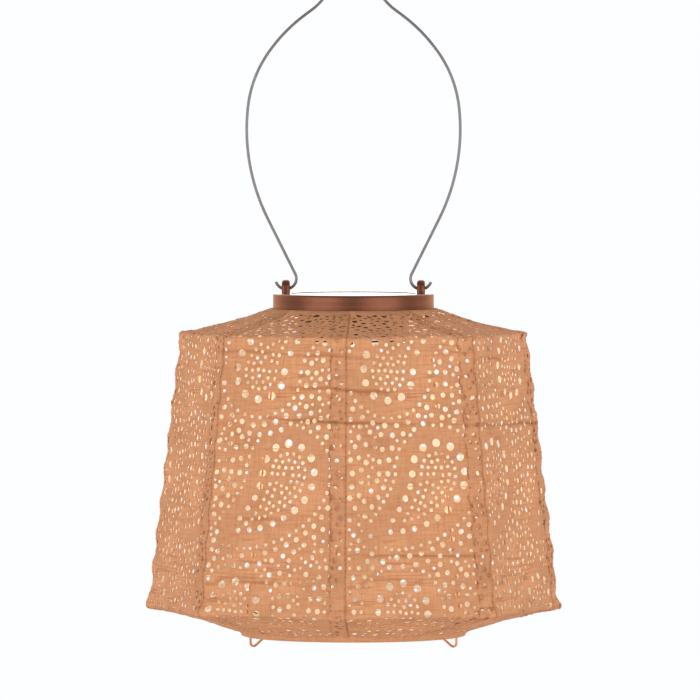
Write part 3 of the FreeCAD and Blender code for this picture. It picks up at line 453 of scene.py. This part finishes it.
def teardrop():
    # closed outline round a head on the origin, its tail down to the left, a point about every millimetre
    r = motif["headRadius"]
    tip = motif["tip"]
    over = np.radians(np.linspace(184, -6, 68, endpoint=False))
    head = np.stack([np.cos(over), np.sin(over)], axis=1) * r
    right = bezier([head[-1], (r + 1.0, -22), (-8, -43), tip], np.linspace(0.02, 1, 64, endpoint=False))
    left = bezier([tip, (-34, -31), (-r - 1.0, -17), head[0]], np.linspace(0, 1, 48, endpoint=False))
    return np.concatenate([head, right, left])


def placeMotifs(shifts):
    outlines = []
    drop = teardrop()
    for row, shift in zip(motifRows, shifts):
        for side in (-1, 0, 1):
            flip = 1 if row["upright"] else -1
            centre = np.array([shift + side * motif["repeat"], shoulderS + row["fromShoulder"]])
            outlines.append(centre + drop * row["scale"] * flip * np.array([1, -1]))
    return outlines


def signedDistance(point, outline):
    # below zero inside the outline
    nearest = np.min(np.hypot(*(outline - point).T))
    nextOne = np.roll(outline, -1, axis=0)
    crossing = (outline[:, 1] > point[1]) != (nextOne[:, 1] > point[1])
    a, b = outline[crossing], nextOne[crossing]
    hits = a[:, 0] + (point[1] - a[:, 1]) / (b[:, 1] - a[:, 1]) * (b[:, 0] - a[:, 0]) > point[0]
    return -nearest if hits.sum() % 2 else nearest


def cutPattern(shifts, rng, edgeGap):
    # every hole of one gore as (x, s, radius)
    holes = np.zeros((0, 3))
    outlines = placeMotifs(shifts)
    jitter = motif["jitter"]

    def fits(x, s, r):
        if s < 8 + r or s > mouthS - 3 - r or abs(x) > halfWidth(s) - r - edgeGap:
            return False
        apart = np.hypot(holes[:, 0] - x, holes[:, 1] - s) - holes[:, 2] - r
        return bool(np.all(apart > (motif["gap"] if s > shoulderS else motif["slopeGap"])))

    def cut(x, s, r):
        nonlocal holes
        if fits(x, s, r):
            holes = np.vstack([holes, (x, s, r)])
            return True
        return False

    def row(outline, offset, sizeAt, clearOf):
        ahead = np.roll(outline, -1, axis=0) - np.roll(outline, 1, axis=0)
        outward = np.stack([-ahead[:, 1], ahead[:, 0]], axis=1)
        outward /= np.linalg.norm(outward, axis=1)[:, None]
        if signedDistance(outline[20] + outward[20] * 0.5, outline) < 0:
            outward = -outward
        line = outline + outward * offset
        kept = [p for p in line if np.min(np.hypot(*(outline - p).T)) >= abs(offset) * 0.96]
        last = None
        for p in kept:
            radius, step = sizeAt(p)
            if last is not None and math.hypot(*(p - last)) < step:
                continue
            last = p
            if all(signedDistance(p, other) > motif["blankBand"][1] for other in clearOf):
                cut(p[0] + rng.uniform(-jitter, jitter), p[1] + rng.uniform(-jitter, jitter),
                    radius * rng.uniform(0.94, 1.06))

    size = motif["outline"]
    for outline in outlines:
        tip = outline[132]

        def growing(p, tip=tip):
            share = min(math.hypot(*(p - tip)) / 62, 1)
            return (size["smallRadius"] + (size["largeRadius"] - size["smallRadius"]) * share,
                    size["smallStep"] + (size["largeStep"] - size["smallStep"]) * share)

        others = [o for o in outlines if o is not outline]
        row(outline, 0.0, growing, others)
    for outline in outlines:
        others = [o for o in outlines if o is not outline]
        for offset, radius, step in motif["insideRows"] + motif["outsideRows"]:
            row(outline, offset, lambda p, radius=radius, step=step: (radius, step), others)
    low, high = motif["blankBand"]
    for attempt in range(motif["looseTries"]):
        onSlope = attempt < motif["slopeTries"]
        s = rng.uniform(8, shoulderS) if onSlope else rng.uniform(shoulderS, mouthS - 4)
        x = rng.uniform(-1, 1) * halfWidth(s)
        r = rng.choice(motif["looseRadii"])
        if not fits(x, s, r + 0.25):
            continue
        distances = [signedDistance(np.array([x, s]), outline) for outline in outlines]
        if onSlope or all(d < low or d > high for d in distances):
            cut(x, s, r)
    return holes


def goreOutline(left, right, step):
    # the edge of a flat strip between two sideways limits, each a function of s, as points
    count = int(hemS / step)
    along = np.unique(np.concatenate([np.linspace(0, hemS, count), stops]))
    edge = [np.stack([right(along), along], axis=1)]
    for s, start, end in ((hemS, right, left), (0.0, left, right)):
        a, b = start(np.array([s]))[0], end(np.array([s]))[0]
        across = np.linspace(a, b, max(int(abs(a - b) / step), 3))[1:-1]
        edge.append(np.stack([across, np.full(len(across), s)], axis=1))
        if s > 0:
            edge.append(np.stack([left(along), along], axis=1)[::-1])
    return np.concatenate(edge)


def perforatedStrip(outline, holes, inner):
    # triangles of a flat strip with round holes; returns its points, its faces and which points lie on a hole
    points = [tuple(p) for p in outline]
    rings = [list(range(len(points)))]
    for x, s, r in holes:
        sides = 16 if r > 2.2 else 12 if r > 1.6 else 10
        start = len(points)
        for corner in range(sides):
            turn = 2 * math.pi * corner / sides
            points.append((x + r * math.cos(turn), s + r * math.sin(turn)))
        rings.append(list(range(start, len(points))))
    onHole = len(points)
    points += [tuple(p) for p in inner]
    coords, edges, faces, origVerts, origEdges, origFaces = delaunay_2d_cdt(
        [Vector(p) for p in points], [], rings, 1, 1e-4)
    kept = [f for f, owners in zip(faces, origFaces) if owners == [0]]
    used = sorted({v for f in kept for v in f})
    renumber = {old: new for new, old in enumerate(used)}
    flat = np.array([tuple(coords[v]) for v in used])
    hole = np.array([any(len(outline) <= o < onHole for o in origVerts[v]) for v in used])
    return flat, [[renumber[v] for v in f] for f in kept], hole


def innerPoints(rng, left, right, holes, spacing, extra=()):
    # a jittered grid between the strip's sides, clear of the holes, with extra rows where the cloth creases
    rows = []
    for s in np.arange(spacing * 0.6, hemS - spacing * 0.3, spacing):
        a, b = left(np.array([s]))[0], right(np.array([s]))[0]
        for x in np.arange(a + spacing * 0.45, b - spacing * 0.4, spacing):
            rows.append((x + rng.uniform(-0.3, 0.3) * spacing, s + rng.uniform(-0.3, 0.3) * spacing))
    points = np.array(rows + list(extra))
    keep = np.ones(len(points), bool)
    for x, s, r in holes:
        keep &= np.hypot(points[:, 0] - x, points[:, 1] - s) > r + 0.45
    return points[keep]


def buildStrip(name, number, left, right, holes, rng, settings):
    outline = goreOutline(left, right, settings["edgeStep"])
    inner = innerPoints(rng, left, right, holes, settings["spacing"], settings["extra"])
    flat, faces, hole = perforatedStrip(outline, holes, inner)
    points, folds, nearSeam = clothSurface(number, flat[:, 0], flat[:, 1], settings["inset"])
    piece = meshPiece(name, points, faces)
    mesh = piece.data
    for material in (clothOutside, clothInside):
        mesh.materials.append(material)     # before the thickness, whose inner faces take the second
    layer = mesh.uv_layers.new(name="clothMap")
    corners = np.array([loop.vertex_index for loop in mesh.loops])
    layer.data.foreach_set("uv", (flat[corners] * mm).ravel())
    # foldShade carries the painted shade of the folds, and darkens the colour a little round each hole
    for attribute, values in (("seamNear", nearSeam), ("foldShade", np.clip(folds + hole * 0.10, 0, 1))):
        mesh.attributes.new(attribute, "FLOAT", "POINT").data.foreach_set("value", values.astype(np.float32))
    middle = mesh.polygons[0].center
    if mesh.polygons[0].normal.dot(Vector((middle.x, middle.y, 0.02))) < 0:
        mesh.flip_normals()
    solid = piece.modifiers.new("clothThickness", "SOLIDIFY")
    solid.thickness = shade["thickness"] * mm
    solid.offset = -1
    solid.material_offset = 1
    applyModifiers(piece)
    return piece


goreSettings = {"edgeStep": 1.5, "spacing": 2.5, "inset": 0.0}
seamSettings = {"edgeStep": 2.0, "spacing": 2.8, "inset": 0.75, "extra": ()}
edgeGap = 0.9     # mm of cloth between a hole and a sewn edge


def creasePoints(number, rng):
    # extra rows of points along the rib's creases and beside the seams, where the cloth is folded finest
    rows = []
    goreAngle = goreAngles[number]
    for turnNumber in range(-1, shade["ribTurns"] + 1):
        for x in np.arange(-54, 54, 2.0):
            s = shoulderS
            for step in range(3):
                turn = math.atan2(x, np.interp(s, stops, profile[:, 0]))
                z = ribStart - ribPitch * (turnNumber + (goreAngle + turn - math.pi) / (2 * math.pi) % 1)
                s = float(np.interp(-z, [-shoulderZ, -baseZ], [shoulderS, baseS]))
            if abs(x) < halfWidth(s) - 2 and shoulderS + 4 < s < baseS - 4:
                rows += [(x, s + d) for d in (0.2, 1.4, 2.4, 3.4)]
    along = np.arange(6, mouthS - 2, 1.5)
    edges = halfWidth(along) - allowanceWidth(number, along)
    for s, edge in zip(along, edges):
        for side in (-1, 1):
            rows += [(side * (halfWidth(s) - d), s + rng.uniform(-0.3, 0.3)) for d in (0.8, 1.8, 3.2)]
        rows += [(edge + d, s) for d in (-0.9, 0.0, 0.9)]
    return rows


for number, node in enumerate(gores):
    rng = random.Random(shade["seed"] + number)
    holes = cutPattern(goreShifts[number], rng, edgeGap)
    settings = dict(goreSettings, extra=creasePoints(number, rng))
    piece = buildStrip(f"shadeGore{number + 1}", number, lambda s: -halfWidth(s), halfWidth, holes, rng,
                       settings)
    finishPiece(piece, [])
    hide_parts(node)
    print(piece.name, len(holes), "holes,", len(piece.data.polygons), "faces")

# the turned-in seam allowances: each lies behind the right side of its gore, with the pattern of the next one
for number in range(goreCount):
    rng = random.Random(shade["seed"] + 50 + number)

    def innerSide(s, number=number):
        return halfWidth(s) - allowanceWidth(number, s)

    pattern = cutPattern([shift + 27 for shift in goreShifts[(number + 1) % goreCount]], rng, edgeGap)
    pattern[:, 2] += seam["widerHoles"]
    inside = [h for h in pattern
              if innerSide(h[1:2])[0] + h[2] + 0.7 < h[0] < halfWidth(h[1]) - h[2] - edgeGap]
    piece = buildStrip(f"seamAllowance{number + 1}", number, innerSide, lambda s: halfWidth(s) - 0.5,
                       inside, rng, seamSettings)
    finishPiece(piece, [])
print("seam allowances done")


# sewing thread: a row of stitches inside each seam allowance's edge, and the seam itself

threadLook = {"colour": "#9A5E3C", "pitch": 3.3, "length": 1.9, "thick": 0.20}


def threadMaterial():
    # twisted polyester thread: dull, with a fine twist that catches light
    material, tree, shader = newMaterial("twistedPolyesterThread")
    place = addNode(tree, "ShaderNodeTexCoord").outputs["Object"]
    twist = addNode(tree, "ShaderNodeTexWave", {
        "Vector": place, "Scale": 1000 / 2.0, "Distortion": 1.0}, bands_direction="DIAGONAL").outputs["Fac"]
    tone = addRamp(tree, twist, [(0.2, "#7C472B"), (0.8, threadLook["colour"])])
    tree.links.new(tone, shader.inputs["Base Color"])
    shader.inputs["Roughness"].default_value = 0.6
    return material


def sewRow(rows, number, xAt, start, end, pitch, length, rng, skip, lift):
    # stitches along the cloth as pairs of end points, some missing where the thread sinks into a crease
    s = start
    while s < end:
        if rng.random() > skip:
            own = length * rng.uniform(0.7, 1.15)
            ends = np.array([s, s + own])
            x = xAt(ends) + rng.uniform(-0.45, 0.45)
            rows.append(clothSurface(number, x, ends, -lift)[0])
        s += pitch * rng.uniform(0.85, 1.15)


def stitchMesh(name, rows, thick):
    # one small spindle, made once, then copied to every stitch
    bpy.ops.object.select_all(action="DESELECT")
    bpy.ops.mesh.primitive_cylinder_add(vertices=6, radius=1.0, depth=1.0, end_fill_type="TRIFAN")
    model = bpy.context.object
    bpy.ops.object.mode_set(mode="EDIT")
    bpy.ops.mesh.select_all(action="SELECT")
    bpy.ops.mesh.bisect(plane_co=(0, 0, 0.25), plane_no=(0, 0, 1))
    bpy.ops.mesh.select_all(action="SELECT")
    bpy.ops.mesh.bisect(plane_co=(0, 0, -0.25), plane_no=(0, 0, 1))
    bpy.ops.object.mode_set(mode="OBJECT")
    shape = [v.co.copy() for v in model.data.vertices]
    faces = [tuple(f.vertices) for f in model.data.polygons]
    for co in shape:
        if abs(co.z) > 0.4:
            co.x *= 0.45
            co.y *= 0.45
    bpy.data.objects.remove(model)
    points, allFaces = [], []
    for a, b in rows:
        a, b = Vector(a), Vector(b)
        turned = (b - a).to_track_quat("Z", "Y")
        start = len(points)
        middle = (a + b) / 2
        for co in shape:
            points.append(middle + turned @ Vector((co.x * thick, co.y * thick, co.z * (b - a).length)))
        allFaces += [tuple(start + v for v in face) for face in faces]
    return meshPiece(name, points, allFaces)


thread = threadMaterial()
for number in range(goreCount):
    rng = random.Random(shade["seed"] + 90 + number)
    rows = []

    def allowanceEdge(s, number=number):
        return halfWidth(s) - allowanceWidth(number, s) + 0.9

    def seamEdge(s):
        return halfWidth(s) - 0.15

    pitch = threadLook["pitch"]
    length = threadLook["length"]
    sewRow(rows, number, allowanceEdge, 12, mouthS - 6, pitch, length, rng, 0.6, 0.05)
    sewRow(rows, number, seamEdge, 9, mouthS - 3, pitch * 1.15, length * 0.7, rng, 0.25, 0.15)
    piece = stitchMesh(f"seamStitches{number + 1}", rows, threadLook["thick"])
    finishPiece(piece, [thread], angle=60)
print("stitches done")


# the hem: the cloth turns under and up inside the bottom ring

hem = {"steps": 192, "inside": 1.9, "above": 2.2, "thickness": 0.35}


def buildHem():
    low = ringLevel - shade["hemDrop"]
    outer = ringRadius + shade["mouthStandOff"] - 0.5
    inner = ringRadius - hem["inside"]
    route = [(outer, low), (outer - 0.9, low - 0.35), (outer - 2.2, low + 0.1), (inner + 0.3, low + 1.4),
             (inner, ringLevel - 0.6), (inner + 0.1, ringLevel + hem["above"])]
    bpy.ops.object.select_all(action="DESELECT")
    bpy.ops.mesh.primitive_circle_add(vertices=hem["steps"], radius=route[0][0] * mm,
                                      location=(0, 0, route[0][1] * mm))
    piece = bpy.context.object
    piece.name = piece.data.name = "mouthHem"
    bpy.ops.object.transform_apply(location=True, rotation=True, scale=True)
    bpy.ops.object.mode_set(mode="EDIT")
    bpy.ops.mesh.select_all(action="SELECT")
    for (radius, level), (nextRadius, nextLevel) in zip(route, route[1:]):
        bpy.ops.mesh.extrude_region_move(TRANSFORM_OT_translate={"value": (0, 0, (nextLevel - level) * mm)})
        share = nextRadius / radius
        bpy.ops.transform.resize(value=(share, share, 1), center_override=(0, 0, nextLevel * mm))
    bpy.ops.object.mode_set(mode="OBJECT")
    for vertex in piece.data.vertices:
        angle = math.atan2(vertex.co.y, vertex.co.x)
        ruffle = noise.noise(Vector((math.cos(angle) * 9, math.sin(angle) * 9, vertex.co.z / mm / 6)))
        vertex.co.x *= 1 + ruffle * 0.0035
        vertex.co.y *= 1 + ruffle * 0.0035
    layer = piece.data.uv_layers.new(name="clothMap")
    for loop in piece.data.loops:
        co = piece.data.vertices[loop.vertex_index].co
        layer.data[loop.index].uv = (math.atan2(co.y, co.x) * ringRadius * mm, co.z + (co.xy.length - 0.07))
    solid = piece.modifiers.new("clothThickness", "SOLIDIFY")
    solid.thickness = hem["thickness"] * mm
    solid.offset = 0
    applyModifiers(piece)
    finishPiece(piece, [clothOutside])


buildHem()
print("hem done")


# finishes of the frame's own parts

def metalFinish(name, face, edge, roughness, drawn, brush=0.35, polishedTop=False, rim="#FFFFFF"):
    # metal or metallic paint: drawing or turning leaves fine lines along the piece, with duller patches
    material, tree, shader = newMaterial(name)
    place = addNode(tree, "ShaderNodeTexCoord").outputs["Object"]
    lines = addNode(tree, "ShaderNodeTexNoise", {
        "Vector": addNode(tree, "ShaderNodeMapping", {"Vector": place, "Scale": drawn}).outputs["Vector"],
        "Scale": 1.0, "Detail": 4.0, "Roughness": 0.65}).outputs["Fac"]
    patches = addNode(tree, "ShaderNodeTexNoise", {
        "Vector": place, "Scale": 90.0, "Detail": 3.0}).outputs["Fac"]
    tone = addRamp(tree, lines, [(0.32, edge), (0.66, face)])
    dull = addNode(tree, "ShaderNodeMapRange", {
        "Value": patches, "To Min": roughness * 0.8, "To Max": roughness * 1.25}).outputs["Result"]
    bump = addNode(tree, "ShaderNodeBump", {"Height": lines, "Distance": 0.04 * mm, "Strength": brush})
    tree.links.new(tone, shader.inputs["Base Color"])
    tree.links.new(dull, shader.inputs["Roughness"])
    tree.links.new(bump.outputs["Normal"], shader.inputs["Normal"])
    shader.inputs["Metallic"].default_value = 1.0
    shader.inputs["Specular Tint"].default_value = hexColour(rim)
    if polishedTop:
        facing = addNode(tree, "ShaderNodeTexCoord").outputs["Normal"]
        upwards = addNode(tree, "ShaderNodeSeparateXYZ", {"Vector": facing}).outputs["Z"]
        gloss = addNode(tree, "ShaderNodeMapRange", {"Value": upwards, "From Min": 0.55, "From Max": 0.98})
        tree.links.new(gloss.outputs["Result"], shader.inputs["Coat Weight"])
        shader.inputs["Coat Roughness"].default_value = 0.06
    return material


def plasticFinish(name, face, shadow, roughness, grain=0.6, coat=0.0):
    # moulded plastic: a spark-eroded mould leaves a fine pebbled grain, and handling leaves it uneven
    material, tree, shader = newMaterial(name)
    place = addNode(tree, "ShaderNodeTexCoord").outputs["Object"]
    pebble = addNode(tree, "ShaderNodeTexVoronoi", {
        "Vector": place, "Scale": 1000 / grain}).outputs["Distance"]
    patches = addNode(tree, "ShaderNodeTexNoise", {
        "Vector": place, "Scale": 60.0, "Detail": 4.0}).outputs["Fac"]
    tone = addRamp(tree, patches, [(0.3, shadow), (0.7, face)])
    dull = addNode(tree, "ShaderNodeMapRange", {
        "Value": patches, "To Min": roughness * 0.85, "To Max": roughness * 1.15}).outputs["Result"]
    bump = addNode(tree, "ShaderNodeBump", {"Height": pebble, "Distance": 0.05 * mm, "Strength": 0.4})
    tree.links.new(tone, shader.inputs["Base Color"])
    tree.links.new(dull, shader.inputs["Roughness"])
    tree.links.new(bump.outputs["Normal"], shader.inputs["Normal"])
    shader.inputs["IOR"].default_value = 1.53
    shader.inputs["Coat Weight"].default_value = coat
    return material


def windowFinish():
    # clear polycarbonate: glossy, with faint hazy scratches from cleaning
    material, tree, shader = newMaterial("clearPolycarbonate")
    place = addNode(tree, "ShaderNodeTexCoord").outputs["Object"]
    wiped = addNode(tree, "ShaderNodeMapping", {"Vector": place, "Scale": (40, 700, 40)}).outputs["Vector"]
    haze = addNode(tree, "ShaderNodeTexNoise", {"Vector": wiped, "Scale": 1.0, "Detail": 3.0}).outputs["Fac"]
    dull = addNode(tree, "ShaderNodeMapRange", {
        "Value": haze, "To Min": 0.02, "To Max": 0.05}).outputs["Result"]
    tree.links.new(dull, shader.inputs["Roughness"])
    shader.inputs["Base Color"].default_value = hexColour("#FBF0E4")
    shader.inputs["Transmission Weight"].default_value = 1.0
    shader.inputs["IOR"].default_value = 1.58
    return material


def siliconFinish():
    # polycrystalline silicon: dark blue flakes under printed silver fingers and two bus bars
    material, tree, shader = newMaterial("polycrystallineSilicon")
    place = addNode(tree, "ShaderNodeTexCoord").outputs["Object"]
    flakes = addNode(tree, "ShaderNodeTexVoronoi", {"Vector": place, "Scale": 1000 / 5.0}).outputs["Color"]
    flake = addNode(tree, "ShaderNodeSeparateColor", {"Color": flakes}).outputs["Red"]
    blue = addRamp(tree, flake, [(0.0, "#0E1730"), (0.6, "#18284E"), (1.0, "#26406F")])
    axes = addNode(tree, "ShaderNodeSeparateXYZ", {"Vector": place})
    lines = []
    for axis, pitch, width in (("Y", 2.2, 0.2), ("X", 14.0, 1.1)):
        scaled = addNode(tree, "ShaderNodeMath", {0: axes.outputs[axis], 1: 1000 / pitch},
                         operation="MULTIPLY").outputs[0]
        part = addNode(tree, "ShaderNodeMath", {0: scaled}, operation="FRACT").outputs[0]
        line = addNode(tree, "ShaderNodeMath", {0: part, 1: width / pitch}, operation="LESS_THAN")
        lines.append(line.outputs[0])
    silver = addNode(tree, "ShaderNodeMath", {0: lines[0], 1: lines[1]}, operation="MAXIMUM").outputs[0]
    tone = addNode(tree, "ShaderNodeMix", {0: silver, 6: blue, 7: hexColour("#B9BDC2")},
                   data_type="RGBA").outputs[2]
    tree.links.new(tone, shader.inputs["Base Color"])
    tree.links.new(silver, shader.inputs["Metallic"])
    shader.inputs["Roughness"].default_value = 0.28
    return material


def boardFinish(name, face, trace):
    # glass-epoxy board under solder mask: glossy, with copper tracks showing as a second tone
    material, tree, shader = newMaterial(name)
    place = addNode(tree, "ShaderNodeTexCoord").outputs["Object"]
    tracks = addNode(tree, "ShaderNodeTexVoronoi", {"Vector": place, "Scale": 1000 / 6.0},
                     distance="MANHATTAN").outputs["Distance"]
    tone = addRamp(tree, tracks, [(0.45, face), (0.52, trace)])
    tree.links.new(tone, shader.inputs["Base Color"])
    shader.inputs["Roughness"].default_value = 0.35
    shader.inputs["Coat Weight"].default_value = 0.3
    return material


def litFinish(name, face, glow, strength, roughness):
    # frosted polycarbonate over a lit lamp: milky, its glow uneven with the frost
    material, tree, shader = newMaterial(name)
    place = addNode(tree, "ShaderNodeTexCoord").outputs["Object"]
    frost = addNode(tree, "ShaderNodeTexNoise", {
        "Vector": place, "Scale": 1800.0, "Detail": 2.0}).outputs["Fac"]
    bump = addNode(tree, "ShaderNodeBump", {"Height": frost, "Distance": 0.05 * mm, "Strength": 0.5})
    glowing = addRamp(tree, frost, [(0.3, glow), (0.7, "#FFE9CC")])
    tree.links.new(bump.outputs["Normal"], shader.inputs["Normal"])
    tree.links.new(glowing, shader.inputs["Emission Color"])
    shader.inputs["Base Color"].default_value = hexColour(face)
    shader.inputs["Emission Strength"].default_value = strength
    shader.inputs["Roughness"].default_value = roughness
    return material


finishes = {
    "handle_steel": metalFinish("drawnSteelWire", "#878487", "#7A777A", 0.36, (300, 300, 20), 0.0),
    "collar_bronze": metalFinish("copperPaintedAbs", "#845543", "#724838", 0.38, (10, 10, 900), 0.15, True,
                                 "#FFE2CC"),
    "clamp_plastic": plasticFinish("mouldedAbsBrown", "#4A3A31", "#3B2E27", 0.48),
    "hoop_wire": plasticFinish("creamCoatedSpringWire", "#E9D2B8", "#DDC4A8", 0.45),
    "expander_wire": metalFinish("copperLacqueredWire", "#DE9B69", "#B97746", 0.38, (700, 700, 60)),
    "window_clear": windowFinish(),
    "cell_silicon": siliconFinish(),
    "board_white": boardFinish("whiteSolderMaskBoard", "#E9E7E0", "#DAD7CE"),
    # painted shade: the hidden case is made dark so that the top slope's holes look shaded
    "case_plastic": plasticFinish("mouldedAbsDarkenedAsShade", "#3A322D", "#2C2622", 0.5),
    "seal_rubber": plasticFinish("nitrileRubber", "#1F1E1D", "#161515", 0.7, 0.4),
    "board_green": boardFinish("greenSolderMaskBoard", "#1F6B3C", "#2E8A50"),
    "lamp_clear": litFinish("warmLampEpoxy", "#FFF3DA", "#FFDDA8", 6.0, 0.2),
    "lens_frosted": litFinish("frostedPolycarbonate", "#F4EFE6", "#FFEBD2", 2.0, 0.55),
    "battery_sleeve": plasticFinish("shrunkPvcSleeve", "#2F7F5B", "#24684A", 0.3, 1.2, 0.3),
    "contact_nickel": metalFinish("nickelPlatedSpring", "#C9C6BE", "#A9A59C", 0.25, (600, 60, 600)),
    "screw_steel": metalFinish("zincPlatedScrew", "#BDBBB4", "#93918B", 0.3, (500, 500, 500)),
    "lead_red": plasticFinish("redPvcLead", "#B3261E", "#8E1D17", 0.4, 0.5),
    "lead_black": plasticFinish("blackPvcLead", "#201F1F", "#141414", 0.4, 0.5),
    "switch_plastic": plasticFinish("mouldedNylonBlack", "#262423", "#1A1918", 0.42),
}
for name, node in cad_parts.items():
    own = node.data.materials[0].name.split(".")[0]
    if own in finishes:
        for index in range(len(node.data.materials)):
            node.data.materials[index] = finishes[own]
print("finishes on", len(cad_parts), "CAD nodes")


# studio: pale floor far below, bright sides, camera a long way off

studio = {
    "cameraDistance": 7.0,
    "cameraTurn": 2.3,        # degrees
    "cameraLookDown": 2.1,
    "lens": 516.0,
    "aim": (-0.0024, 0.0, -0.282),
    "floorDrop": 0.85,        # below the lantern, m
    "floorRadius": 3.0,
    "glowPower": 0.46,        # W, the lamp's light spread through the shade
    "keyOut": 2.1,            # m to each side, and in front
    "keyFront": 2.2,
    "keySize": 3.0,
    "keyPower": 45,           # W
}

bpy.ops.object.select_all(action="DESELECT")
bpy.ops.mesh.primitive_circle_add(vertices=96, radius=studio["floorRadius"], fill_type="NGON",
                                  location=(0, 0, cadLow.z - studio["floorDrop"]))
floor = bpy.context.object
floor.name = "studioFloor"
# seamless paper: matt, hardly any grain
floorMaterial, floorTree, floorShader = newMaterial("matteWhitePaper")
paper = addNode(floorTree, "ShaderNodeTexNoise", {
    "Vector": addNode(floorTree, "ShaderNodeTexCoord").outputs["Object"], "Scale": 3.0})
floorTree.links.new(addRamp(floorTree, paper.outputs["Fac"], [(0.3, "#EFEDEA"), (0.7, "#F3F1EE")]),
                    floorShader.inputs["Base Color"])
floorShader.inputs["Roughness"].default_value = 0.9
floor.data.materials.append(floorMaterial)

world = bpy.data.worlds.new("studioWorld")
bpy.context.scene.world = world
world.use_nodes = True
tree = world.node_tree
direction = addNode(tree, "ShaderNodeTexCoord").outputs["Generated"]
axes = addNode(tree, "ShaderNodeSeparateXYZ", {"Vector": direction})
upShade = addNode(tree, "ShaderNodeMapRange", {
    "Value": axes.outputs["Z"], "From Min": 0.15, "From Max": 0.8,
    "To Min": 1.0, "To Max": 0.65}).outputs["Result"]
frontShade = addNode(tree, "ShaderNodeMapRange", {
    "Value": axes.outputs["Y"], "From Min": -0.1, "From Max": 0.75,
    "To Min": 0.55, "To Max": 1.5}).outputs["Result"]
both = addNode(tree, "ShaderNodeMath", {0: upShade, 1: frontShade}, operation="MULTIPLY").outputs[0]
lighting = addNode(tree, "ShaderNodeBackground", {"Color": hexColour("#FFFDFB"), "Strength": both})
seen = addNode(tree, "ShaderNodeBackground", {"Color": hexColour("#FDFEFF"), "Strength": 1.0})
isCamera = addNode(tree, "ShaderNodeLightPath").outputs["Is Camera Ray"]
mixed = addNode(tree, "ShaderNodeMixShader", {0: isCamera, 1: lighting.outputs[0], 2: seen.outputs[0]})
tree.links.new(mixed.outputs[0], tree.nodes["World Output"].inputs["Surface"])


def areaLight(name, place, aim, size, power, tint):
    data = bpy.data.lights.new(name, "AREA")
    data.size = size
    data.energy = power
    data.color = hexColour(tint)[:3]
    light = bpy.data.objects.new(name, data)
    light.location = place
    light.rotation_euler = (Vector(aim) - Vector(place)).to_track_quat("-Z", "Y").to_euler()
    bpy.context.scene.collection.objects.link(light)


shadeMiddle = (shoulderZ + baseZ) / 2 * mm
for name, side in (("keyLeft", -1), ("keyRight", 1)):
    areaLight(name, (side * studio["keyOut"], -studio["keyFront"], shadeMiddle), (0, 0, shadeMiddle),
              studio["keySize"], studio["keyPower"], "#FFFBF5")
for name, level in (("lampGlowHigh", shoulderZ - 55), ("lampGlowLow", shoulderZ - 125)):
    data = bpy.data.lights.new(name, "POINT")
    data.shadow_soft_size = 0.02
    data.energy = studio["glowPower"] / 2
    data.color = hexColour("#FFFADC")[:3]
    light = bpy.data.objects.new(name, data)
    light.location = (0, 0, level * mm)
    bpy.context.scene.collection.objects.link(light)
    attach(light, "lantern")

turn = math.radians(studio["cameraTurn"])
down = math.radians(studio["cameraLookDown"])
aim = Vector(studio["aim"])
back = Vector((math.sin(turn) * math.cos(down), -math.cos(turn) * math.cos(down), math.sin(down)))
cameraData = bpy.data.cameras.new("camera")
cameraData.lens = studio["lens"]
cameraData.sensor_width = 36
cameraData.clip_start = 0.5
cameraData.clip_end = 50
camera = bpy.data.objects.new("camera", cameraData)
camera.location = aim + back * studio["cameraDistance"]
camera.rotation_euler = (-back).to_track_quat("-Z", "Y").to_euler()
bpy.context.scene.collection.objects.link(camera)
bpy.context.scene.camera = camera
bpy.context.scene.view_settings.view_transform = "Standard"
print("studio ready")
